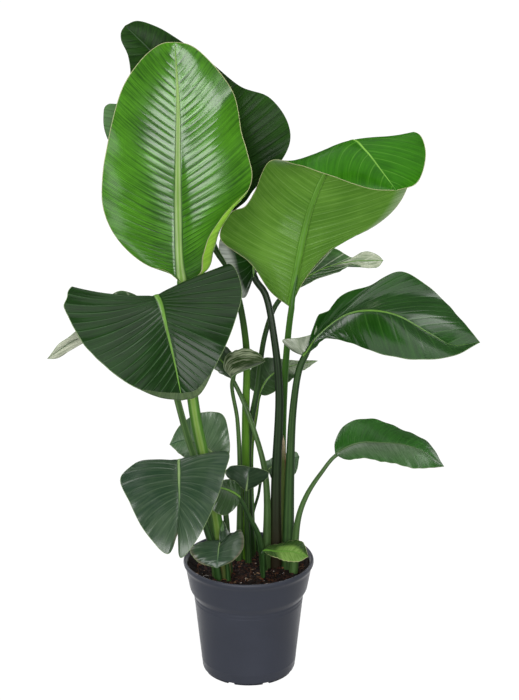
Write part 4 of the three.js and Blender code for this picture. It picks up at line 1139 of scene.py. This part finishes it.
# What goes with each cuticle: its midrib, its keel and the age of its margin
RIBS_AND_MARGINS = {
    "young": ("young_midrib", "young_keel", "young"),
    "newest": ("newest_midrib", "young_keel", "young"),
    "light": ("young_keel", "mature_keel", "young"),
    "fresh": ("mature_midrib", "mature_keel", "mature"),
    "mature": ("mature_midrib", "mature_keel", "mature"),
    "dull": ("mature_midrib", "mature_keel", "mature"),
    "banded": ("mature_midrib", "mature_keel", "mature"),
    "weathered": ("weathered_midrib", "mature_keel", "mature"),
    "hazy": ("weathered_midrib", "mature_keel", "mature"),
    "grassy": ("grassy_midrib", "mature_keel", "mature"),
    "striped": ("striped_midrib", "striped_keel", "mature"),
    "shaded": ("shaded_midrib", "mature_keel", "shaded"),
}
cuticles = {kind: leaf_skin(kind + "_leaf_cuticle", **look) for kind, look in CUTICLE_LOOKS.items()}
undersides = {kind: leaf_skin(kind + "_leaf_underside", **look) for kind, look in UNDERSIDE_LOOKS.items()}
tissues = {name: juicy_tissue(name, *look) for name, look in TISSUE_LOOKS.items()}


def skins_of(leaf):
    """The materials of a leaf's mesh, in the order of UPPER to SHEATH"""
    midrib, keel, margin = RIBS_AND_MARGINS[leaf["upper"]]
    juicy = (midrib, keel, margin + "_leaf_margin", leaf["stalk_skin"] + "_stalk", "leaf_sheath_dry")
    return [cuticles[leaf["upper"]], undersides[leaf["under"]], *(tissues[name] for name in juicy)]


# Tall leaves
# The tallest growth: eight leaves on stalks up to 0.7 m long, their blades up to 0.42 m. The front one is
# young and bright, one has arched over and shows its light under side, and one hangs forward at the left.
TALL_LEAVES = [
    dict(
        name="leaf_top_front", veins=40, upper="young", under="light", stalk_skin="bright",
        sweep=(1.75, 1.0, 1.0), smooth=(0.35, 0.8), shoulder=0.5, midrib=25,
        curls=[dict(side=1, rows=(0.02, 0.42), roll=32, radius=5, degrees=160)],
        # This dry place is no dry tissue: its bright lime paints light shining through the rolled margin.
        dry=[dict(side=1, rows=(0.02, 0.06, 0.38, 0.42), out=(0.78, 0.84))],
        sheaths=[dict(top=0.16, turn=-25, reach=75)],
        ground=(-45, -43), girth=(26, 19), bow=(-0.06, -0.06), wave=3, phase=14,
        stalk=[(-70, -40, 385), (-95, -30, 515)],
        rib=[(-115, -10, 745), (-120, 10, 865), (-120, 20, 960), (-120, 40, 1055), (-125, 60, 1155)],
        left=[(-144, -17, 771), (-168, -27, 780), (-195, -34, 800), (-221, -39, 830), (-243, -40, 872),
              (-250, -30, 920), (-235, -5, 1010), (-210, 20, 1090), (-174, 36, 1137), (-146, 52, 1154)],
        right=[(-72, -22, 773), (-59, -40, 817), (-47, -48, 850), (-26, -52, 885), (5, -44, 932),
              (-10, -10, 1015), (-25, 20, 1075), (-75, 42, 1136), (-101, 54, 1152)],
    ),
    dict(
        name="leaf_top_back", veins=34, upper="shaded", under="sage", stalk_skin="yellowed",
        dry=[dict(side=-1, rows=(0.5, 0.56, 0.68, 0.74), out=(0.6, 0.75))],
        ground=(-8, 36), girth=(20, 11), bow=(0.05, 0.05), wave=2, phase=15,
        stalk=[(-5, 40, 475), (-5, 45, 625), (-30, 50, 745)],
        rib=[(-60, 60, 795), (-75, 80, 890), (-105, 105, 1020), (-155, 125, 1110), (-215, 139, 1171)],
        left=[(-100, 40, 830), (-190, 45, 870), (-228, 55, 950), (-249, 65, 1000), (-251, 72, 1026),
              (-249, 77, 1039), (-241, 81, 1044), (-228, 87, 1040), (-214, 98, 1060), (-206, 108, 1082),
              (-210, 126, 1120), (-222, 133, 1147), (-222, 137, 1160)],
        right=[(-43, 62, 838), (-27, 58, 866), (-9, 57, 872), (10, 55, 897), (60, 60, 950), (74, 68, 988),
              (63, 80, 1024), (35, 90, 1055), (-12, 98, 1071), (-56, 108, 1104), (-122, 128, 1149),
              (-160, 135, 1170), (-195, 140, 1179)],
    ),
    dict(
        name="leaf_arched_right", veins=34, upper="newest", under="spread", stalk_skin="bright",
        sweep=(1.7, 1.0, 1.0), bend=0.05, pleat=0.35, midrib=15,
        # This dry place paints sheen along the left margin.
        dry=[dict(side=-1, rows=(0.1, 0.25, 0.5, 0.6), out=(0.86, 1.0))],
        sheaths=[dict(top=0.55, turn=-15, reach=95)],
        ground=(62, 12), girth=(24, 11), bow=(0.03, 0.13), wave=2, phase=16,
        stalk=[(60, 15, 405), (65, 15, 560)],
        rib=[(75, 10, 695), (90, 20, 780), (110, 30, 870), (140, 20, 945), (176, -20, 1001), (198, -66, 993),
              (222, -102, 968), (246, -130, 940)],
        left=[(100, 20, 745), (150, 30, 800), (225, 30, 840), (265, 20, 885), (285, -5, 960),
              (276, -44, 1018), (290, -66, 1017), (297, -88, 990), (280, -120, 950)],
        right=[(40, 5, 725), (5, -5, 780), (-48, -15, 829), (-40, -10, 858), (-26, -4, 874), (-6, 3, 880),
              (11, 8, 903), (25, 4, 939), (40, -15, 965), (85, -70, 970), (145, -100, 955), (205, -120, 940)],
    ),
    dict(
        name="leaf_drooping_left", veins=24, upper="dull", under="olive", stalk_skin="dusty",
        sweep=(2.0, 0.75, 0.75), bend=-0.02, pleat=1.7, midrib=11,
        lips=[dict(margins=(0.82, 0.85), toward=0.6, radius=2.6, width=9, degrees=165)],
        ground=(-58, -46), girth=(16, 11), bow=(0.015, -0.045), wave=3, phase=14,
        stalk=[(-80, -50, 375), (-110, -60, 490), (-135, -60, 600), (-155, -60, 715)],
        rib=[(-157, -90, 747), (-147, -130, 746), (-135, -190, 725), (-120, -245, 685), (-106, -287, 630)],
        left=[(-115, -70, 755), (-70, -55, 770), (-30, -60, 795), (-10, -95, 760), (-25, -160, 710),
              (-55, -220, 660), (-82, -270, 631)],
        right=[(-195, -82, 732), (-245, -90, 741), (-268, -98, 750), (-285, -106, 758), (-296, -114, 771),
              (-303, -122, 763), (-304, -129, 755), (-309, -140, 743), (-306, -148, 736),
              (-301, -155, 729), (-270, -190, 690), (-210, -240, 650), (-145, -278, 632)],
    ),
    dict(
        name="leaf_behind_arch", veins=18, upper="dull", under="sage", stalk_skin="deep",
        # This dry place paints a whitish sheen over the outer part of the left half.
        dry=[dict(side=-1, rows=(0.05, 0.15, 0.6, 0.8), out=(0.66, 0.82))],
        ground=(50, 0), girth=(24, 12), bow=(0.05, 0.05), wave=3, phase=9,
        stalk=[(50, 0, 370), (55, 0, 545), (45, 10, 645), (30, 25, 715)],
        rib=[(10, 35, 745), (15, 50, 800), (30, 75, 845), (65, 105, 885), (105, 125, 900)],
        left=[(-8, 25, 708), (-30, 20, 745), (-41, 20, 777), (-52, 18, 800), (-48, 24, 820), (-20, 42, 838),
              (15, 80, 880), (65, 120, 910)],
        right=[(30, 40, 770), (65, 65, 805), (100, 95, 840), (115, 120, 880)],
    ),
    dict(
        name="leaf_twisted_tip", veins=12, upper="banded", under="banded", stalk_skin="dark",
        sweep=(2.2, 0.8, 0.8), dry=[dict(rows=(0.72, 0.78, 1.0, 1.1), out=(-1.2, 1.2))],
        ground=(4, 42), girth=(18, 9), bow=(-0.05, -0.05), wave=3, phase=9,
        stalk=[(0, 45, 430), (15, 50, 525), (30, 60, 630), (50, 70, 685)],
        rib=[(70, 80, 705), (100, 90, 725), (145, 100, 745), (188, 105, 753), (243, 107, 754)],
        left=[(65, 105, 735), (100, 125, 770), (160, 130, 770), (188, 118, 757), (212, 117, 768),
              (234, 113, 762)],
        right=[(85, 75, 710), (130, 85, 728), (172, 92, 742), (188, 95, 750), (212, 98, 743),
              (233, 102, 743)],
    ),
    dict(
        name="leaf_right", veins=24, upper="fresh", under="pale", stalk_skin="dark",
        sweep=(2.0, 0.6, 1.6), pleat=0.35, midrib=13,
        # This dry place paints sheen over the foot of the left half.
        dry=[dict(side=-1, rows=(-0.1, 0.0, 0.084, 0.092), out=(-0.1, 0.0))],
        ground=(72, -8), girth=(26, 12), bow=(0.03, 0.06), wave=3, phase=14,
        stalk=[(75, -5, 395), (80, -5, 510), (90, -5, 585)],
        rib=[(100, -5, 610), (125, -10, 650), (170, -20, 690), (210, -40, 705), (255, -50, 700),
              (315, -65, 670), (352, -75, 653), (400, -80, 660)],
        left=[(80, 5, 615), (60, -5, 640), (90, 8, 640), (112, 8, 646), (122, 9, 652), (121, 12, 667),
              (124, 15, 680), (133, 20, 683), (142, 25, 686), (150, 32, 695), (161, 38, 707),
              (183, 50, 716), (220, 58, 724), (270, 60, 745), (340, 30, 710), (380, -30, 675)],
        right=[(115, -10, 625), (135, -35, 650), (170, -80, 662), (207, -112, 656), (234, -126, 651),
              (285, -140, 650), (350, -125, 650)],
    ),
    dict(
        name="leaf_pale_tip", veins=12, upper="banded", under="banded", stalk_skin="dark",
        sweep=(2.2, 0.8, 0.8), dry=[dict(rows=(0.45, 0.6, 1.0, 1.1), out=(-0.1, 0.0))],
        ground=(-34, -34), girth=(14, 9), bow=(-0.1, -0.1), wave=3, phase=9,
        stalk=[(-65, -20, 350), (-90, -15, 465), (-110, 0, 565)],
        rib=[(-130, 5, 620), (-175, -5, 660), (-240, -35, 670), (-298, -70, 662), (-324, -84, 648),
              (-345, -95, 635)],
        left=[(-155, -20, 670), (-196, -20, 726), (-230, -38, 736), (-269, -64, 704), (-301, -80, 673),
              (-325, -88, 659)],
        right=[(-150, 20, 610), (-215, 0, 630), (-279, -54, 664), (-307, -76, 644), (-327, -88, 634)],
    ),
]

for number, leaf in enumerate(TALL_LEAVES):
    grow(leaf, 100 + 10 * number)

# Middle leaves
# Smaller leaves on shorter stalks stand among the tall ones, half of them curled or tucked behind a stalk.
MIDDLE_LEAVES = [
    dict(
        name="leaf_low_right", veins=18, upper="grassy", under="sage", stalk_skin="dusty",
        # This dry place paints a grey sheen over the right half, strongest beside the rib.
        pleat=0.35, dry=[dict(side=1, rows=(-0.1, 0.1, 0.7, 1.0), out=(1.2, -0.1))],
        ground=(82, -26), girth=(20, 7), bow=(0.08, 0.08), wave=2, phase=9,
        stalk=[(90, -30, 310), (105, -30, 355), (130, -35, 400)],
        rib=[(155, -35, 435), (195, -45, 460), (235, -55, 465), (275, -65, 465), (310, -75, 455),
             (345, -80, 430)],
        left=[(155, -20, 455), (175, 0, 480), (220, 10, 485), (275, 5, 470), (320, -30, 455)],
        right=[(175, -60, 435), (210, -80, 445), (245, -100, 445), (285, -110, 440), (320, -100, 435)],
    ),
    dict(
        name="leaf_striped_curl", veins=10, upper="striped", under="streaked", stalk_skin="dusty",
        ground=(-18, 26), girth=(15, 7), bow=(-0.15, -0.15), wave=1, phase=7,
        stalk=[(-16, 24, 382), (-20, 20, 480)],
        rib=[(-30, 12, 564), (-10, 4, 580), (12, -6, 592), (30, -14, 604)],
        left=[(-34, 22, 582), (-18, 28, 596), (6, 24, 602), (22, 6, 604)],
        right=[(-44, -2, 588), (-36, -18, 618), (-8, -30, 632), (16, -30, 626)],
    ),
    dict(
        name="leaf_tucked_left", veins=10, upper="mature", under="pale", stalk_skin="dusty", pleat=0.4,
        ground=(32, -8), girth=(20, 8), bow=(-0.1, -0.1), wave=2, phase=7,
        stalk=[(34, -8, 336), (28, 0, 400), (4, 16, 482)],
        rib=[(-24, 38, 548), (-44, 42, 580), (-72, 38, 608), (-100, 30, 622)],
        left=[(-40, 26, 562), (-64, 14, 582), (-90, 8, 606)],
        right=[(-22, 52, 572), (-36, 58, 604), (-68, 54, 624), (-90, 44, 628)],
    ),
    dict(
        name="leaf_middle_back", veins=10, upper="mature", under="sage", stalk_skin="bright",
        pleat=0.5, dry=[dict(rows=(0.6, 0.7, 1.0, 1.1), out=(-0.1, 0.1))],
        ground=(8, 54), girth=(12, 6), bow=(-0.06, -0.06), wave=2, phase=7,
        stalk=[(6, 58, 408), (14, 64, 474)],
        rib=[(20, 70, 512), (40, 78, 544), (76, 86, 560), (126, 88, 570)],
        left=[(2, 76, 522), (0, 92, 546), (24, 108, 566), (76, 112, 564), (106, 102, 566)],
        right=[(32, 62, 512), (58, 60, 528), (90, 66, 552)],
    ),
    dict(
        name="leaf_low_back", veins=11, upper="hazy", under="sage", stalk_skin="dark", pleat=0.4,
        ground=(-36, -28), girth=(14, 9), bow=(-0.1, -0.1), wave=2, phase=7,
        stalk=[(-40, -20, 302), (-48, -8, 366)],
        rib=[(-56, 4, 410), (-82, 16, 432), (-112, 14, 444), (-142, 2, 440)],
        left=[(-76, -4, 404), (-100, -10, 412), (-122, -10, 426)],
        right=[(-36, 14, 414), (-36, 30, 452), (-48, 46, 482), (-86, 54, 482), (-124, 38, 464)],
    ),
    dict(
        name="leaf_low_left", veins=15, upper="weathered", under="sage", stalk_skin="dark",
        pleat=1.3, dry=[dict(side=1, rows=(0.9, 0.99, 1.1, 1.2), out=(0.2, 0.8))],
        ground=(-54, -60), girth=(16, 10), bow=(0.08, 0.08), wave=3, phase=11,
        stalk=[(-66, -68, 274), (-86, -76, 346), (-106, -84, 416)],
        rib=[(-120, -92, 448), (-120, -122, 432), (-118, -164, 402), (-120, -204, 356)],
        left=[(-84, -84, 452), (-34, -92, 460), (-40, -124, 436), (-58, -176, 396), (-84, -210, 352),
              (-114, -228, 322)],
        right=[(-150, -96, 444), (-188, -100, 448), (-222, -118, 426), (-202, -164, 392),
               (-172, -204, 354), (-136, -226, 328)],
    ),
]

for number, leaf in enumerate(MIDDLE_LEAVES):
    grow(leaf, 300 + 10 * number)

# Low leaves
# The smallest leaves, on new shoots, lie just over the pot and between the feet of the stalks.
LOW_LEAVES = [
    dict(
        name="leaf_pot_front", veins=9, upper="weathered", under="sage", stalk_skin="dark",
        pleat=0.4, dry=[dict(rows=(0.3, 0.8, 1.0, 1.1), out=(0.84, 1.0))],
        ground=(-36, -66), girth=(12, 7), bow=(0.08, 0.08), wave=1, phase=8,
        stalk=[(-40, -70, 254)],
        rib=[(-48, -74, 284), (-52, -92, 280), (-54, -108, 268), (-56, -118, 252)],
        left=[(-44, -56, 298), (-46, -44, 312), (-32, -50, 288), (-14, -56, 298), (-8, -82, 278),
              (-26, -108, 262)],
        right=[(-72, -82, 288), (-104, -90, 276), (-90, -108, 260)],
    ),
    dict(
        name="leaf_scoop", veins=9, upper="weathered", under="pale", stalk_skin="dark", pleat=0.4,
        ground=(0, 10), girth=(14, 8), bow=(-0.1, -0.1), wave=1, phase=7,
        stalk=[(-2, 6, 270)],
        rib=[(-4, 0, 350), (-2, 2, 366), (0, 6, 380), (4, 12, 392)],
        left=[(-22, -14, 370), (-42, -18, 392), (-34, -6, 400), (-12, 6, 398)],
        right=[(16, -16, 368), (34, -30, 388), (36, -28, 398), (20, -14, 400)],
    ),
    dict(
        name="leaf_low_middle", veins=9, upper="mature", under="sage", stalk_skin="dark", pleat=0.4,
        ground=(28, -28), girth=(17, 8), bow=(0.05, 0.05), wave=1, phase=7,
        stalk=[(18, -36, 280), (2, -40, 316)],
        rib=[(-14, -46, 356), (-32, -52, 372), (-54, -60, 382), (-76, -68, 384)],
        left=[(-20, -58, 346), (-40, -68, 332), (-64, -76, 346)],
        right=[(-14, -36, 372), (-32, -36, 388), (-56, -52, 388)],
    ),
    dict(
        name="leaf_behind_stems", veins=9, upper="hazy", under="sage", stalk_skin="dark", pleat=0.4,
        ground=(16, 58), girth=(8, 5), bow=(0.05, 0.05), wave=1, phase=7,
        stalk=[(6, 62, 266), (18, 66, 316), (24, 70, 346)],
        rib=[(36, 74, 362), (54, 80, 372), (74, 84, 378), (94, 84, 384)],
        left=[(26, 84, 370), (44, 98, 376), (70, 104, 384), (88, 98, 388)],
        right=[(44, 62, 348), (66, 58, 348), (86, 64, 358)],
    ),
    dict(
        name="leaf_pot_right", veins=9, upper="light", under="turned", stalk_skin="dark", pleat=0.5,
        # Both dry places are painted shade, over the blade's foot and the outer part of its left half.
        dry=[dict(rows=(-0.1, 0.0, 0.38, 0.5), out=(-0.1, 0.0)),
             dict(side=-1, rows=(-0.1, 0.0, 1.0, 1.1), out=(0.3, 0.55))],
        ground=(26, -46), girth=(12, 8), bow=(0.05, 0.05), wave=1, phase=7,
        stalk=[(26, -52, 234)],
        rib=[(26, -58, 258), (48, -64, 260), (76, -70, 262), (108, -74, 254)],
        left=[(38, -44, 262), (66, -40, 266), (96, -46, 272)],
        right=[(38, -72, 256), (64, -86, 252), (88, -88, 250)],
    ),
]

for number, leaf in enumerate(LOW_LEAVES):
    grow(leaf, 500 + 10 * number)
